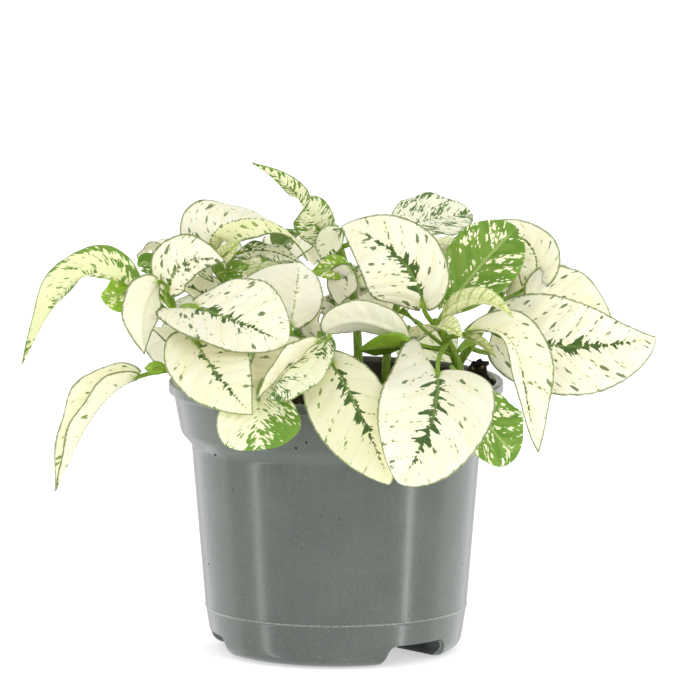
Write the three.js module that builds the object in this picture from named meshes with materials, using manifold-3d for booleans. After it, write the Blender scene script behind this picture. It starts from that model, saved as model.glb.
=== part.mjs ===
// A potted polka dot plant: a moulded nursery pot, its plug of soil, and the leafy shoots that stand in it.
// Millimetres, +Z up. The origin is on the pot's axis, at the foot of the pot, and the plant's front faces -Y.
import * as THREE from 'three';
import { mergeVertices } from 'three/addons/utils/BufferGeometryUtils.js';
import Module from 'manifold-3d';

const wasm = await Module();
wasm.setup();

// ---------------------------------------------------------------- driving dimensions
const FIT = 0.3; // gap between pieces that rest on or in each other

const POT = {
  height: 97,
  lipRadius: 60,
  lipHeight: 3.6,
  collarTop: 58.2, // outer radius just under the lip
  collarFoot: 55.6, // outer radius at the collar's lower edge
  collarFootZ: 79,
  shoulder: 51.7, // outer radius of the body just under the collar
  shoulderZ: 74.6,
  seam: 46.9, // outer radius at the fine moulding line
  seamZ: 16,
  heel: 45.1, // outer radius just above the rounded foot
  heelZ: 4.5,
  foot: 39.8, // outer radius of the foot ring on the ground
  ring: 1.8, // wall of the foot ring
  wall: 1.2,
  floorZ: 9,
  segments: 36,
};
// notches in the foot ring with sloping sides: the first one's azimuth from the front, its widths on the ground
// and under its top, and how deep the cut reaches
const FEET = { notches: 3, first: 41.5, width: 30, top: 24, height: 7.5, reach: 8 };
const DRAIN = { holes: 8, radius: 3.5, circle: 29, sides: 16 };

const SOIL = {
  top: 88,
  lump: 1.6, // height of the soil's small lumps
  waves: [0.31, 0.37, 0.83, 0.59], // wave numbers of the lumps, per mm
  clump: { x: 50, y: 10, radius: 13, rise: 6 }, // the clump against the rim
  rings: 5,
  highest: 100, // above every part of its top
};
// how deep a stem stands in the soil, and the height where it starts to lean
const SOCKET = { floor: 76, mouth: 92, sides: 12 };

const BLADE_THICK = 0.7;
// rows along a blade and columns across it
const GRID = { large: [7, 4], twisted: [12, 4], spray: [5, 4], small: [5, 2] };
const STALK = { radius: 1, end: 0.3, steps: 2, sunk: 4, sides: 4 };
const STEM = { steps: 6, sides: 6 };

const PLASTIC = new THREE.MeshStandardMaterial({ color: 0x6b736e, roughness: 0.5, metalness: 0 });
const EARTH = new THREE.MeshStandardMaterial({ color: 0x2a201a, roughness: 1, metalness: 0 });
const LEAFAGE = new THREE.MeshStandardMaterial({ color: 0xeef0d0, roughness: 0.55, metalness: 0 });

// ---------------------------------------------------------------- solids
const solid = (geometry) => {
  const plain = geometry.clone();
  plain.deleteAttribute('normal');
  plain.deleteAttribute('uv');
  const merged = mergeVertices(plain, 1e-4);
  return new wasm.Manifold(
    new wasm.Mesh({
      numProp: 3,
      vertProperties: new Float32Array(merged.attributes.position.array),
      triVerts: new Uint32Array(merged.index.array),
    }),
  );
};

const named = (name, shape, material) => {
  const { vertProperties, triVerts } = shape.getMesh();
  const geometry = new THREE.BufferGeometry();
  geometry.setAttribute('position', new THREE.BufferAttribute(vertProperties, 3));
  geometry.setIndex(new THREE.BufferAttribute(triVerts, 1));
  geometry.computeVertexNormals();
  const mesh = new THREE.Mesh(geometry, material);
  mesh.name = name;
  return mesh;
};

// Joins rings of points into one closed body. A ring runs along its first face and back along its second, so both
// faces of a thin blade are split into triangles alike, and each end is closed between the two faces.
const loft = (rings) => {
  const count = rings[0].length;
  const half = count / 2;
  const index = [];
  const at = (row, column) => row * count + (column % count);
  const quad = (a, b, c, d, turned) => index.push(...(turned ? [a, b, d, b, c, d] : [a, b, c, a, c, d]));
  for (let row = 0; row < rings.length - 1; row += 1) {
    for (let k = 0; k < count; k += 1) {
      quad(at(row, k), at(row + 1, k), at(row + 1, k + 1), at(row, k + 1), k >= half - 1);
    }
  }
  for (let k = 0; k < half - 1; k += 1) {
    const last = rings.length - 1;
    quad(at(0, k), at(0, k + 1), at(0, count - 2 - k), at(0, count - 1 - k), false);
    quad(at(last, k + 1), at(last, k), at(last, count - 1 - k), at(last, count - 2 - k), false);
  }
  const geometry = new THREE.BufferGeometry();
  const points = rings.flat().flatMap((p) => [p.x, p.y, p.z]);
  geometry.setAttribute('position', new THREE.Float32BufferAttribute(points, 3));
  geometry.setIndex(index);
  return solid(geometry);
};

const vector = (values) => new THREE.Vector3(...values);
const mix = THREE.MathUtils.lerp;
const radians = THREE.MathUtils.degToRad;

// A round bar along points, each with its own radius.
const bar = (points, radii, sides) => {
  const curve = points.map((p, i) => {
    const before = points[Math.max(i - 1, 0)];
    const after = points[Math.min(i + 1, points.length - 1)];
    return { point: p, along: after.clone().sub(before).normalize(), radius: radii[i] };
  });
  let across = Math.abs(curve[0].along.z) > 0.9 ? new THREE.Vector3(1, 0, 0) : new THREE.Vector3(0, 0, 1);
  return loft(
    curve.map(({ point, along, radius }) => {
      across = across.clone().addScaledVector(along, -across.dot(along)).normalize();
      const other = along.clone().cross(across);
      return Array.from({ length: sides }, (_, k) => {
        const turn = (-2 * Math.PI * k) / sides;
        return point
          .clone()
          .addScaledVector(across, radius * Math.cos(turn))
          .addScaledVector(other, radius * Math.sin(turn));
      });
    }),
  );
};

// ---------------------------------------------------------------- pot
const makePot = () => {
  const p = POT;
  const inner = p.wall;
  const outline = [
    [0, p.floorZ - p.wall],
    [p.heel - p.ring, p.floorZ - p.wall],
    [p.heel - p.ring, p.heelZ - 0.9],
    [p.foot - 1.4, 0],
    [p.foot, 0],
    [mix(p.foot, p.heel, 0.53), 0.2 * p.heelZ],
    [mix(p.foot, p.heel, 0.87), 0.58 * p.heelZ],
    [p.heel, p.heelZ],
    [p.seam - 0.1, p.seamZ - 0.6],
    [p.seam + 0.3, p.seamZ],
    [p.seam + 0.1, p.seamZ + 0.6],
    [p.shoulder, p.shoulderZ],
    [p.collarFoot, p.collarFootZ],
    [p.collarTop, p.height - p.lipHeight - 0.6],
    [p.lipRadius, p.height - p.lipHeight],
    [p.lipRadius, p.height - 0.7],
    [p.lipRadius - 0.7, p.height],
    [p.lipRadius - 2.4, p.height],
    [p.collarTop - inner, p.height - 1],
    [p.collarFoot - inner, p.collarFootZ + 0.4],
    [p.shoulder - inner, p.shoulderZ + 0.6],
    [p.seam - inner, p.seamZ],
    [p.seam - inner - 3.6, p.floorZ],
    [0, p.floorZ],
  ].map(([radius, z]) => new THREE.Vector2(radius, z));
  let body = solid(new THREE.LatheGeometry(outline, p.segments).rotateX(Math.PI / 2));
  if (body.volume() < 0) throw new Error('the pot is inside out');

  const { width, top, height } = FEET;
  const arch = new THREE.Shape()
    .moveTo(-width / 2, -1)
    .lineTo(width / 2, -1)
    .lineTo(width / 2, 0)
    .quadraticCurveTo(mix(width, top, 0.7) / 2, height * 0.1, mix(width, top, 0.8) / 2, height * 0.5)
    .quadraticCurveTo(top / 2, height, top / 2 - 1.5, height)
    .lineTo(1.5 - top / 2, height)
    .quadraticCurveTo(-top / 2, height, -mix(width, top, 0.8) / 2, height * 0.5)
    .quadraticCurveTo(-mix(width, top, 0.7) / 2, height * 0.1, -width / 2, 0);
  for (let k = 0; k < FEET.notches; k += 1) {
    const depth = 2 * FEET.reach;
    const cutter = new THREE.ExtrudeGeometry(arch, { depth, bevelEnabled: false, curveSegments: 4 });
    cutter.rotateX(Math.PI / 2).translate(0, -p.foot + FEET.reach, 0);
    cutter.rotateZ(radians(FEET.first + (360 / FEET.notches) * k));
    body = body.subtract(solid(cutter));
  }
  for (let k = 0; k < DRAIN.holes; k += 1) {
    const turn = (2 * Math.PI * (k + 0.5)) / DRAIN.holes;
    const drill = new THREE.CylinderGeometry(DRAIN.radius, DRAIN.radius, 4 * p.wall, DRAIN.sides);
    const place = [DRAIN.circle * Math.cos(turn), DRAIN.circle * Math.sin(turn), p.floorZ - p.wall / 2];
    drill.rotateX(Math.PI / 2).translate(...place);
    body = body.subtract(solid(drill));
  }
  return body;
};

// ---------------------------------------------------------------- shoots
// A stem stands straight in its socket and then leans along a cubic curve: foot [x, y] in the soil, bend, and top.
const STEMS = {
  centre: { foot: [45, -8], bend: [45, -8, 104], top: [35, -12, 121], radius: [2, 1.3] },
  right: { foot: [42, 22], bend: [50, 18, 106], top: [60, 12, 127], radius: [1.7, 1.2] },
  middle: { foot: [-4, -25], bend: [-5, -27, 104], top: [-6, -28, 119], radius: [1.7, 1.2] },
  left: { foot: [-40, -8], bend: [-52, -9, 108], top: [-61, -9, 130], radius: [1.7, 1.2] },
  left_back: { foot: [-26, 16], bend: [-34, 12, 118], top: [-43, 4, 141], radius: [1.6, 1.1] },
  top: { foot: [8, 14], bend: [8, 14, 125], top: [0, 12, 147], radius: [1.7, 1.1] },
  back_left: { foot: [-16, 40], bend: [-20, 48, 115], top: [-24, 52, 132], radius: [1.6, 1.1] },
  back_right: { foot: [18, 40], bend: [22, 47, 115], top: [26, 52, 134], radius: [1.6, 1.1] },
};

const stemCurve = ({ foot, bend, top }) => {
  const start = new THREE.Vector3(...foot, SOCKET.mouth);
  const lift = start.clone().setZ(mix(SOCKET.mouth, bend[2], 0.6));
  return new THREE.CubicBezierCurve3(start, lift, vector(bend), vector(top));
};

const stemPoint = (stem, height) => {
  const near = stemCurve(STEMS[stem]).getPoints(200);
  return near.reduce((best, p) => (Math.abs(p.z - height) < Math.abs(best.z - height) ? p : best));
};

const shoots = Object.fromEntries(Object.keys(STEMS).map((stem) => [stem, []]));

// One leaf: the height on its stem where its stalk leaves, the points of its midrib from the blade's base to its
// tip, and its form:
//   wide: the two half widths, left and right of the midrib as the upper face is seen with the tip upward
//   face: which way the upper face looks, at the base and at the tip
//   fold, tipFold: degrees that each half rises out of flat, at the base and at the tip
//   lobe: how far each half sweeps back past the base, as a share of its width
//   peak: where along the midrib the blade is widest; full: how fast it narrows from there; one number or one a half
const pair = (value) => (Array.isArray(value) ? value : [value, value]);
const leaf = (stem, height, midrib, form) => {
  const usual = {
    wide: [10, 10],
    face: [[0, -1, 0.5], [0, -1, 0.2]],
    fold: [8, 8],
    lobe: [0.25, 0.25],
    wave: form.small ? 0.2 : 0.8,
    peak: 0.36,
    full: 1.55,
    grid: form.small ? GRID.small : GRID.large,
  };
  const whole = { ...usual, tipFold: form.fold ?? usual.fold, ...form, stem, height, midrib: midrib.map(vector) };
  shoots[stem].push({ ...whole, peak: pair(whole.peak), full: pair(whole.full) });
};

// A leaf that reaches out from its stem at an azimuth: near and far are the distances of its base and its tip from
// the stem, lift, arch and drop the heights of its base, middle and tip over the point where its stalk leaves.
const spray = (stem, height, azimuth, [near, far], [lift, arch, drop], form) => {
  const out = [Math.cos(radians(azimuth)), Math.sin(radians(azimuth))];
  const foot = stemPoint(stem, height);
  const point = (reach, rise) => [foot.x + out[0] * reach, foot.y + out[1] * reach, foot.z + rise];
  const midrib = [point(near, lift), point((near + far) / 2, arch), point(far, drop)];
  const face = [[-0.3 * out[0], -0.3 * out[1], 1], [out[0], out[1], 0.7]];
  leaf(stem, height, midrib, { face, grid: GRID.spray, lobe: [0.45, 0.45], peak: 0.42, full: 1.25, ...form });
};

// the centre shoot, to the right of the middle
leaf('centre', 112, [[36, -38, 106], [33, -67, 91], [22, -75, 72]], {
  wide: [21, 20], face: [[0, -0.6, 1], [-0.1, -1, 0.15]],
  fold: [4, 16], lobe: [0.2, 1.2], peak: [0.35, 0.45], full: [1, 1.2],
}); // the heart-shaped leaf over the front rim
leaf('centre', 117, [[31, -14, 126], [22, -17, 144], [2, -10, 154]], {
  wide: [16.5, 14.5], face: [[-0.4, -1, 0.3], [-0.1, -1, 0.5]], lobe: [0.15, 0.15], peak: 0.4, full: 1.4,
}); // the big white leaf at the top
leaf('centre', 119, [[40, -8, 125], [53, 0, 140], [65, 8, 151]], {
  wide: [13.5, 13], face: [[-0.2, -1, 0.2], [0, -1, 0.4]], peak: 0.5, full: 1.3,
}); // the green leaf with cream specks
leaf('centre', 118, [[39, -13, 121], [51, -20, 128], [63, -24, 123]], {
  wide: [6, 6], face: [[0, -0.6, 1], [0, -0.6, 1]], fold: [50, 50], small: true,
});
leaf('centre', 116, [[36, -15, 118], [40, -22, 119], [45, -25, 116]], {
  wide: [5, 5], face: [[0, -0.6, 1], [0, -0.6, 1]], fold: [40, 30], small: true,
});
leaf('centre', 113, [[45, -14, 115], [51, -16, 112.5], [57, -18, 108]], {
  wide: [3, 3], face: [[0, -0.6, 1], [0, -0.6, 1]], fold: [40, 40], small: true,
});
leaf('centre', 105, [[44, -7, 109], [48, -5, 111], [53, -4, 111]], {
  wide: [6, 6], face: [[0, 0.6, 1], [0, 0.6, 1]], small: true,
});
leaf('centre', 114, [[48, -18, 117], [62, -24, 115], [67, -28, 99], [72, -26, 75]], {
  wide: [12, 8], face: [[0.3, -0.6, 1], [0.5, -1, 0.2]], fold: [20, 35], peak: 0.45,
}); // the folded leaf that droops at the right
leaf('centre', 110, [[26, -20, 114.5], [9, -31, 123], [-4.5, -34, 119.5]], {
  wide: [10, 8], face: [[0, 0.75, 0.65], [0, 0.75, 0.65]], lobe: [0, 0], peak: 0.55, full: 1.3, wave: 0.3,
}); // the pale arching leaf in the middle
leaf('centre', 107, [[24, -22, 113], [16, -26, 113], [8, -28, 112]], {
  wide: [7, 7], face: [[0, 0.7, 0.7], [0, 0.7, 0.7]], small: true,
});
leaf('centre', 109, [[27, -4, 117], [24, 0, 119], [20, 2, 120]], {
  wide: [5, 5], face: [[0, 0.6, 0.8], [0, 0.6, 0.8]], small: true,
});
leaf('centre', 98, [[45, -43, 101], [55, -48, 87], [64, -46, 77]], {
  wide: [13, 13], face: [[0.3, -0.6, 1], [0.4, -0.9, 0.2]], peak: 0.5, full: 1.3,
}); // the green leaf over the right of the rim

// the right shoot
leaf('right', 115, [[64, 0, 111.5], [89, -5, 110], [114.4, -2, 113]], {
  wide: [18, 19], face: [[-0.1, -1, 0.4], [-0.1, -1, 0.4]], lobe: [0.7, 0.5], peak: [0.28, 0.4], full: [1.5, 1.15],
}); // the big leaf at the far right
leaf('right', 124, [[69, 16, 129], [72, 18, 138], [66, 24, 146], [51, 26, 150]], {
  wide: [9, 9], face: [[-0.3, -1, 0.2], [0, -1, 0.6]], fold: [10, -30], peak: 0.4,
});
leaf('right', 120, [[71, 10, 125], [84, 13, 124], [99, 12, 118]], {
  wide: [13, 11], face: [[0, -0.8, 0.6], [0, -0.8, 0.6]],
});
spray('right', 118, 65, [13, 50], [8, 12, -8], { wide: [17, 17] });
spray('right', 106, 28, [16, 54], [0, 6, -16], { wide: [17, 17] });
spray('right', 123, 112, [10, 44], [5, 10, 0], { wide: [15, 15] });

// the middle shoot, at the front
leaf('middle', 113, [[-2, -46, 111], [9, -63, 94], [19, -66, 70]], {
  wide: [12, 17], face: [[-0.3, -0.6, 1], [-0.2, -1, 0.15]],
  fold: [-10, 8], lobe: [0.5, 0.5], peak: 0.42, full: 1.3,
}); // the pale leaf left of the heart-shaped one
leaf('middle', 109, [[-3, -42, 118], [-13, -62, 106], [-24, -68, 101]], {
  wide: [7, 7], face: [[-0.3, -1, 0.8], [-0.3, -1, 0.8]],
});
leaf('middle', 112, [[-6, -44, 117], [-17, -57, 110], [-28, -66, 100]], {
  wide: [4, 6], face: [[-0.5, -1, 0.6], [-0.5, -1, 0.6]], fold: [50, 50],
});
leaf('middle', 108, [[-11, -38, 114], [-21, -46, 108], [-30, -52, 100]], {
  wide: [11, 11], face: [[-0.3, -1, 0.5], [-0.3, -1, 0.5]],
});
leaf('middle', 111, [[-16, -32, 122], [-14, -28, 133], [-13, -20, 142]], {
  wide: [10, 19], face: [[0, 1, 0.1], [0, 1, 0.1]], lobe: [0.2, 0.1], peak: [0.45, 0.55], full: [1.2, 1],
});
leaf('middle', 112, [[-6, -28, 116], [-9, -28, 122], [-4, -26, 127]], {
  wide: [4, 4], face: [[0, 1, 0.2], [0, 1, 0.2]], small: true,
});
leaf('middle', 99, [[-27, -56, 101], [-27, -64, 92], [-26, -63, 82]], {
  wide: [15, 15], face: [[0, -0.6, 1], [0, -1, 0.1]], peak: 0.55, full: 1.1,
}); // the green streaked leaf over the left of the rim
leaf('middle', 106, [[-8, -31, 112], [-12, -32, 111], [-16, -33, 110]], {
  wide: [4, 4], face: [[0, -1, 0.5], [0, -1, 0.5]], small: true,
});

// the left shoot
leaf('left', 120, [[-73, -8, 133], [-88, -12, 138], [-100, -14, 128], [-112, -14, 105]], {
  wide: [12, 7], face: [[0, 0.7, 0.8], [-0.9, 0.6, 0.4]], fold: [10, 20],
}); // the long leaf that arches at the far left
leaf('left', 118, [[-73, -6, 131], [-78.5, -9, 129], [-84, -10, 129.5]], {
  wide: [7, 7], face: [[0, -1, 0.3], [0, -1, 0.3]], small: true,
});
leaf('left', 101, [[-71, -20, 101], [-83, -24, 93], [-92, -26, 79], [-100, -26, 61]], {
  wide: [7, 12], face: [[-0.6, 0, 1], [-1, 0, 0.5]], fold: [60, 60],
}); // the folded leaf that hangs at the lower left
leaf('left', 122, [[-64, -16, 134], [-69, -22, 125], [-68, -24, 110]], {
  wide: [8, 8], face: [[-0.3, 1, 0.3], [-0.3, 1, 0.3]],
});
leaf('left', 124, [[-60, -14, 132], [-53, -22, 143], [-39, -24, 143]], {
  wide: [11, 9], face: [[-0.3, -1, 0.5], [0, -1, 0.6]],
});
leaf('left', 121, [[-50, -30, 128], [-34, -48, 125], [-17, -52, 118]], {
  wide: [17, 13], face: [[0, -0.8, 0.6], [0, -1, 0.3]], lobe: [0.3, 1.2], peak: [0.5, 0.35], full: [1.2, 1.05],
}); // the white leaf at the front left
leaf('left', 112, [[-49, -36, 116], [-41, -58, 107], [-29, -67, 95]], {
  wide: [14, 15], face: [[0, -0.8, 0.7], [0, -1, 0.3]], lobe: [0.3, 0.8],
});
leaf('left', 124, [[-65, 0, 136], [-68, 4, 139], [-71, 6, 137]], {
  wide: [4, 4], face: [[0, -1, 0.3], [0, -1, 0.3]], small: true,
});
leaf('left', 104, [[-61, -23, 105], [-65, -24, 105], [-68, -24, 105]], {
  wide: [2.5, 2.5], face: [[0, -1, 0.3], [0, -1, 0.3]], small: true,
});
spray('left', 110, 108, [12, 40], [1, 2, -14], { wide: [14, 14] });

// the shoot behind it
leaf('left_back', 138, [[-44, -1, 144], [-40, -6, 154], [-24, -2, 155], [-10, 0, 140]], {
  wide: [15, 9], face: [[-0.3, -1, 0], [0.3, 0.7, 2]], fold: [5, -45], lobe: [0.4, 0.2],
}); // the big leaf at the top left
leaf('left_back', 130, [[-35, 6, 142], [-23, 4, 143], [-10, 2, 137]], {
  wide: [5, 8], face: [[0, -0.4, 1], [0, -0.4, 1]],
});
leaf('left_back', 135, [[-41, -8, 142], [-38, -10, 145], [-34, -12, 149]], {
  wide: [4, 4], face: [[0, -1, 0.3], [0, -1, 0.3]], fold: [40, 40], small: true,
});
leaf('left_back', 128, [[-39, -6, 137], [-35, -8, 138], [-31, -8, 140]], {
  wide: [4, 4], face: [[0, -1, 0.6], [0, -1, 0.6]], small: true,
});
spray('left_back', 118, 150, [13, 46], [4, 8, -12], { wide: [16, 16] });
spray('left_back', 131, 118, [11, 46], [4, 9, -6], { wide: [15, 16] });
spray('left_back', 137, 160, [8, 32], [4, 8, 2], { wide: [11, 11] });

// the top shoot
leaf('top', 141, [[-5, 10, 149], [-10, 8, 157], [-16, 6, 166], [-30, 4, 175]], {
  wide: [7.5, 7.5], face: [[-0.2, -1.6, 0.4], [0, 1.6, 1.2]], peak: 0.25, full: 1.3, wave: 0, grid: GRID.twisted,
}); // the twisted leaf at the very top
leaf('top', 143, [[1, 8, 150], [-3, 6, 145], [-4, 4, 139]], {
  wide: [5, 5], face: [[0, 1, 0.2], [0, 1, 0.2]], small: true,
});
leaf('top', 135, [[4, 6, 138], [-2, 2, 137], [-9, 0, 136]], {
  wide: [5, 5], face: [[0, -1, 0.5], [0, -1, 0.5]], small: true,
});
leaf('top', 130, [[5, 4, 136], [2, 0, 131], [1, -2, 124]], {
  wide: [6, 6], face: [[0, 1, 0.2], [0, 1, 0.2]], small: true,
});
leaf('top', 143, [[23, 12, 151], [35, 18, 153], [49, 24, 154]], {
  wide: [13, 13], face: [[0, -0.5, 0.85], [0, -0.5, 0.85]], peak: 0.5, full: 1.2,
});
spray('top', 126, 86, [12, 41], [4, 7, -6], { wide: [15, 15] });
spray('top', 116, 122, [12, 36], [2, 6, -6], { wide: [12, 12] });
spray('top', 141, 130, [10, 36], [3, 6, -2], { wide: [12, 12] });

// the two shoots at the back
spray('back_left', 128, 112, [9, 29], [4, 6, -14], { wide: [18, 18] });
spray('back_left', 116, 165, [12, 48], [2, 4, -17], { wide: [17, 17] });
spray('back_left', 104, 95, [14, 33], [0, -2, -24], { wide: [16, 16] });
spray('back_left', 130, 60, [9, 31], [4, 8, -2], { wide: [12, 12] });
spray('back_left', 132, 258, [8, 25], [1, 2, -3], { wide: [8, 8] });
spray('back_right', 130, 43, [9, 37], [4, 8, -10], { wide: [16, 16] });
spray('back_right', 120, 100, [10, 30], [3, 3, -18], { wide: [16, 16] });
spray('back_right', 106, 65, [14, 36], [0, -2, -26], { wide: [16, 16] });
spray('back_right', 132, 165, [8, 28], [5, 11, 10], { wide: [9, 9] });
spray('back_right', 134, 330, [8, 26], [4, 7, 3], { wide: [9, 9] });

// ---------------------------------------------------------------- leaves
const NEAR = 1e-3; // half the step along a midrib that gives its direction
const TIP = { base: 1.05, end: 0.35 }; // half widths of a blade where it leaves its stalk and at its tip
const HEEL = 0.25; // how broad a lobe ends, as a share of how far it sweeps back
const WAVE = { along: 2.5, across: 0.3 }; // how often the margin waves, and how the waves slant

// A smooth curve through points evenly spaced in u: the polynomial that Lagrange's formula gives.
const through = (points, u) => {
  const last = points.length - 1;
  return points.reduce((sum, point, i) => {
    const weight = points.reduce((w, _, j) => (j === i ? w : (w * (u * last - j)) / (i - j)), 1);
    return sum.addScaledVector(point, weight);
  }, new THREE.Vector3());
};

const direction = (points, u) => through(points, u + NEAR).sub(through(points, u - NEAR)).normalize();

// The blade's midrib at u: its point, its direction and which way the upper face looks.
const bladeFrame = ({ midrib, face }, u) => {
  const along = direction(midrib, u);
  const look = vector(face[0]).lerp(vector(face[1]), u);
  const up = look.addScaledVector(along, -look.dot(along)).normalize();
  return { centre: through(midrib, u), along, up };
};

// How full one half of the blade is at u: a share of its half width that rises and falls as u^a (1 - u)^b.
const fullness = ({ peak, full }, u, half) => {
  const rising = (u / peak[half]) ** (full[half] * peak[half]);
  return rising * ((1 - u) / (1 - peak[half])) ** (full[half] * (1 - peak[half]));
};

// A point of a blade's upper face: u runs from base to tip and s across, from -1 to 1. Each half leaves the midrib
// at its fold angle, its margin waves, and its lobe sweeps back past the base.
const bladePoint = (blade, u, s) => {
  const { centre, along, up } = bladeFrame(blade, u);
  const { wide, fold, tipFold, lobe, wave } = blade;
  const half = s > 0 ? 1 : 0;
  const shape = fullness(blade, u, half);
  const reach = Math.abs(s);
  const side = along.clone().cross(up).multiplyScalar(Math.sign(s));
  const sweep = lobe[half] * wide[half];
  const width = reach * (Math.max(shape * wide[half], mix(TIP.base, TIP.end, u)) + HEEL * sweep * (1 - u) ** 9);
  const rise = radians(mix(fold[half], tipFold[half], u));
  const ripple = wave * Math.sin(2 * Math.PI * (WAVE.along * u + WAVE.across * s)) * reach ** 2 * shape;
  return centre
    .addScaledVector(side, Math.cos(rise) * width)
    .addScaledVector(up, Math.sin(rise) * width + ripple)
    .addScaledVector(along, -sweep * reach ** 1.5 * (1 - u) ** 5);
};

// The lower face lies one thickness under the upper one, along its normals; towards the narrow ends the normals
// turn into the midrib's own, so that the two halves' lower faces don't cross.
const makeBlade = (blade) => {
  const [rows, columns] = blade.grid;
  const step = 1e-3;
  const rings = Array.from({ length: rows + 1 }, (_, i) => {
    const u = i / rows;
    const inside = Math.min(Math.max(u, step), 1 - step);
    const { up } = bladeFrame(blade, inside);
    const upper = [];
    const lower = [];
    for (let k = 0; k <= columns; k += 1) {
      const s = (2 * k) / columns - 1;
      const ahead = bladePoint(blade, inside + step, s).sub(bladePoint(blade, inside - step, s));
      const across = bladePoint(blade, u, Math.min(s + step, 1)).sub(bladePoint(blade, u, Math.max(s - step, -1)));
      const turned = Math.min(2 * fullness(blade, inside, s > 0 ? 1 : 0), 1);
      const normal = up.clone().lerp(across.cross(ahead).normalize(), turned).normalize();
      upper.unshift(bladePoint(blade, u, s));
      lower.push(bladePoint(blade, u, s).addScaledVector(normal, -BLADE_THICK));
    }
    return [...upper, ...lower];
  });
  return loft(rings);
};

// The stalk bends from the stem into the line of the midrib and runs on inside the blade.
const makeStalk = ({ stem, height, midrib, face }) => {
  const foot = stemPoint(stem, height);
  const base = midrib[0];
  const along = direction(midrib, 0);
  const bend = base.clone().addScaledVector(along, -0.45 * base.distanceTo(foot));
  const points = new THREE.QuadraticBezierCurve3(foot, bend, base).getPoints(STALK.steps);
  const look = vector(face[0]);
  const up = look.addScaledVector(along, -look.dot(along)).normalize();
  points.push(base.clone().addScaledVector(along, STALK.sunk).addScaledVector(up, -BLADE_THICK / 2));
  return bar(points, points.map((_, i) => mix(STALK.radius, STALK.end, i / (STALK.steps + 1))), STALK.sides);
};

const makeStem = (stem) => {
  const { foot, radius } = STEMS[stem];
  const points = [new THREE.Vector3(...foot, SOCKET.floor + FIT), ...stemCurve(STEMS[stem]).getPoints(STEM.steps)];
  return bar(points, points.map((_, i) => mix(radius[0], radius[1], i / (STEM.steps + 1))), STEM.sides);
};

const makeShoot = (stem) => {
  const pieces = shoots[stem].flatMap((one) => [makeStalk(one), makeBlade(one)]);
  const whole = pieces.reduce((sum, piece) => sum.add(piece), makeStem(stem));
  return whole.decompose().reduce((best, body) => (body.volume() > best.volume() ? body : best)); // drops scraps
};

// ---------------------------------------------------------------- soil
const lumps = (x, y) => {
  const [a, b, c, d] = SOIL.waves;
  return SOIL.lump * (Math.sin(a * x + 1) * Math.cos(b * y) + 0.5 * Math.sin(c * x - d * y));
};

const soilTop = (x, y) => {
  const { clump } = SOIL;
  const near = Math.min(Math.hypot(x - clump.x, y - clump.y) / clump.radius, 1);
  return SOIL.top + lumps(x, y) + clump.rise * (1 - near ** 2) ** 2;
};

// The plug follows the inside of the pot, with the fit all round; its top is a grid of rings lifted to soilTop.
const makeSoil = () => {
  const p = POT;
  const inset = p.wall + FIT + 0.1;
  const rim = mix(p.collarFoot, p.collarTop, (SOIL.top - 3 - p.collarFootZ) / (p.height - p.collarFootZ)) - inset;
  const outline = [
    [0, p.floorZ + FIT],
    [p.seam - inset - 3.6, p.floorZ + FIT],
    [p.seam - inset, p.seamZ],
    [p.shoulder - inset, p.shoulderZ + 0.6],
    [p.collarFoot - inset, p.collarFootZ + 0.4],
  ].map(([radius, z]) => new THREE.Vector2(radius, z));
  for (let ring = SOIL.rings; ring >= 0; ring -= 1) {
    outline.push(new THREE.Vector2((rim * ring) / SOIL.rings, SOIL.top));
  }
  const plug = new THREE.LatheGeometry(outline, p.segments).rotateX(Math.PI / 2);
  const place = plug.attributes.position;
  for (let i = 0; i < place.count; i += 1) {
    if (place.getZ(i) > SOIL.top - 0.1) place.setZ(i, soilTop(place.getX(i), place.getY(i)));
  }
  let body = solid(plug);
  Object.values(STEMS).forEach(({ foot, radius }) => {
    const depth = SOIL.highest - SOCKET.floor;
    const hole = new THREE.CylinderGeometry(radius[0] + FIT, radius[0] + FIT, depth, SOCKET.sides);
    body = body.subtract(solid(hole.rotateX(Math.PI / 2).translate(...foot, SOCKET.floor + depth / 2)));
  });
  return body;
};

// ---------------------------------------------------------------- the plant
const plant = new THREE.Group();
plant.add(named('pot', makePot(), PLASTIC), named('soil', makeSoil(), EARTH));
Object.keys(STEMS).forEach((stem) => plant.add(named(`shoot_${stem}`, makeShoot(stem), LEAFAGE)));

export default plant;
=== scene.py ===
"""A potted polka dot plant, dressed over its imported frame.

Shapes are worked out in millimetres and put into the meshes in metres, in the frame's own place: the origin
is on the pot's axis at its foot, +Z is up and the plant's front faces -Y.
"""

import math

import bpy
import numpy as np
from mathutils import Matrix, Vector


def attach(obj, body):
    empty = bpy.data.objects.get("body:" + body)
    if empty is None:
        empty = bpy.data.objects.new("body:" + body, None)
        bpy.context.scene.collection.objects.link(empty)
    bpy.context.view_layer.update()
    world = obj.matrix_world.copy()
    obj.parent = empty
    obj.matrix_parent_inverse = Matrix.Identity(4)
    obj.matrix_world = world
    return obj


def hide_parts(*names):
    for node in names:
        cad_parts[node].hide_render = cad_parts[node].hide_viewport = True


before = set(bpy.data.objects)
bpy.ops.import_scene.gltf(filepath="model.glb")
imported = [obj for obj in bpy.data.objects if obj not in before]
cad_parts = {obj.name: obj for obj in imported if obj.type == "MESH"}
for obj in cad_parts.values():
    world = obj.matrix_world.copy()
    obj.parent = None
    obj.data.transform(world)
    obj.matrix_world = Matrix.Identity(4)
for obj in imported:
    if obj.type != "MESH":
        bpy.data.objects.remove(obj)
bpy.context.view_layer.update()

MM = 0.001
TURN = 2 * math.pi

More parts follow.
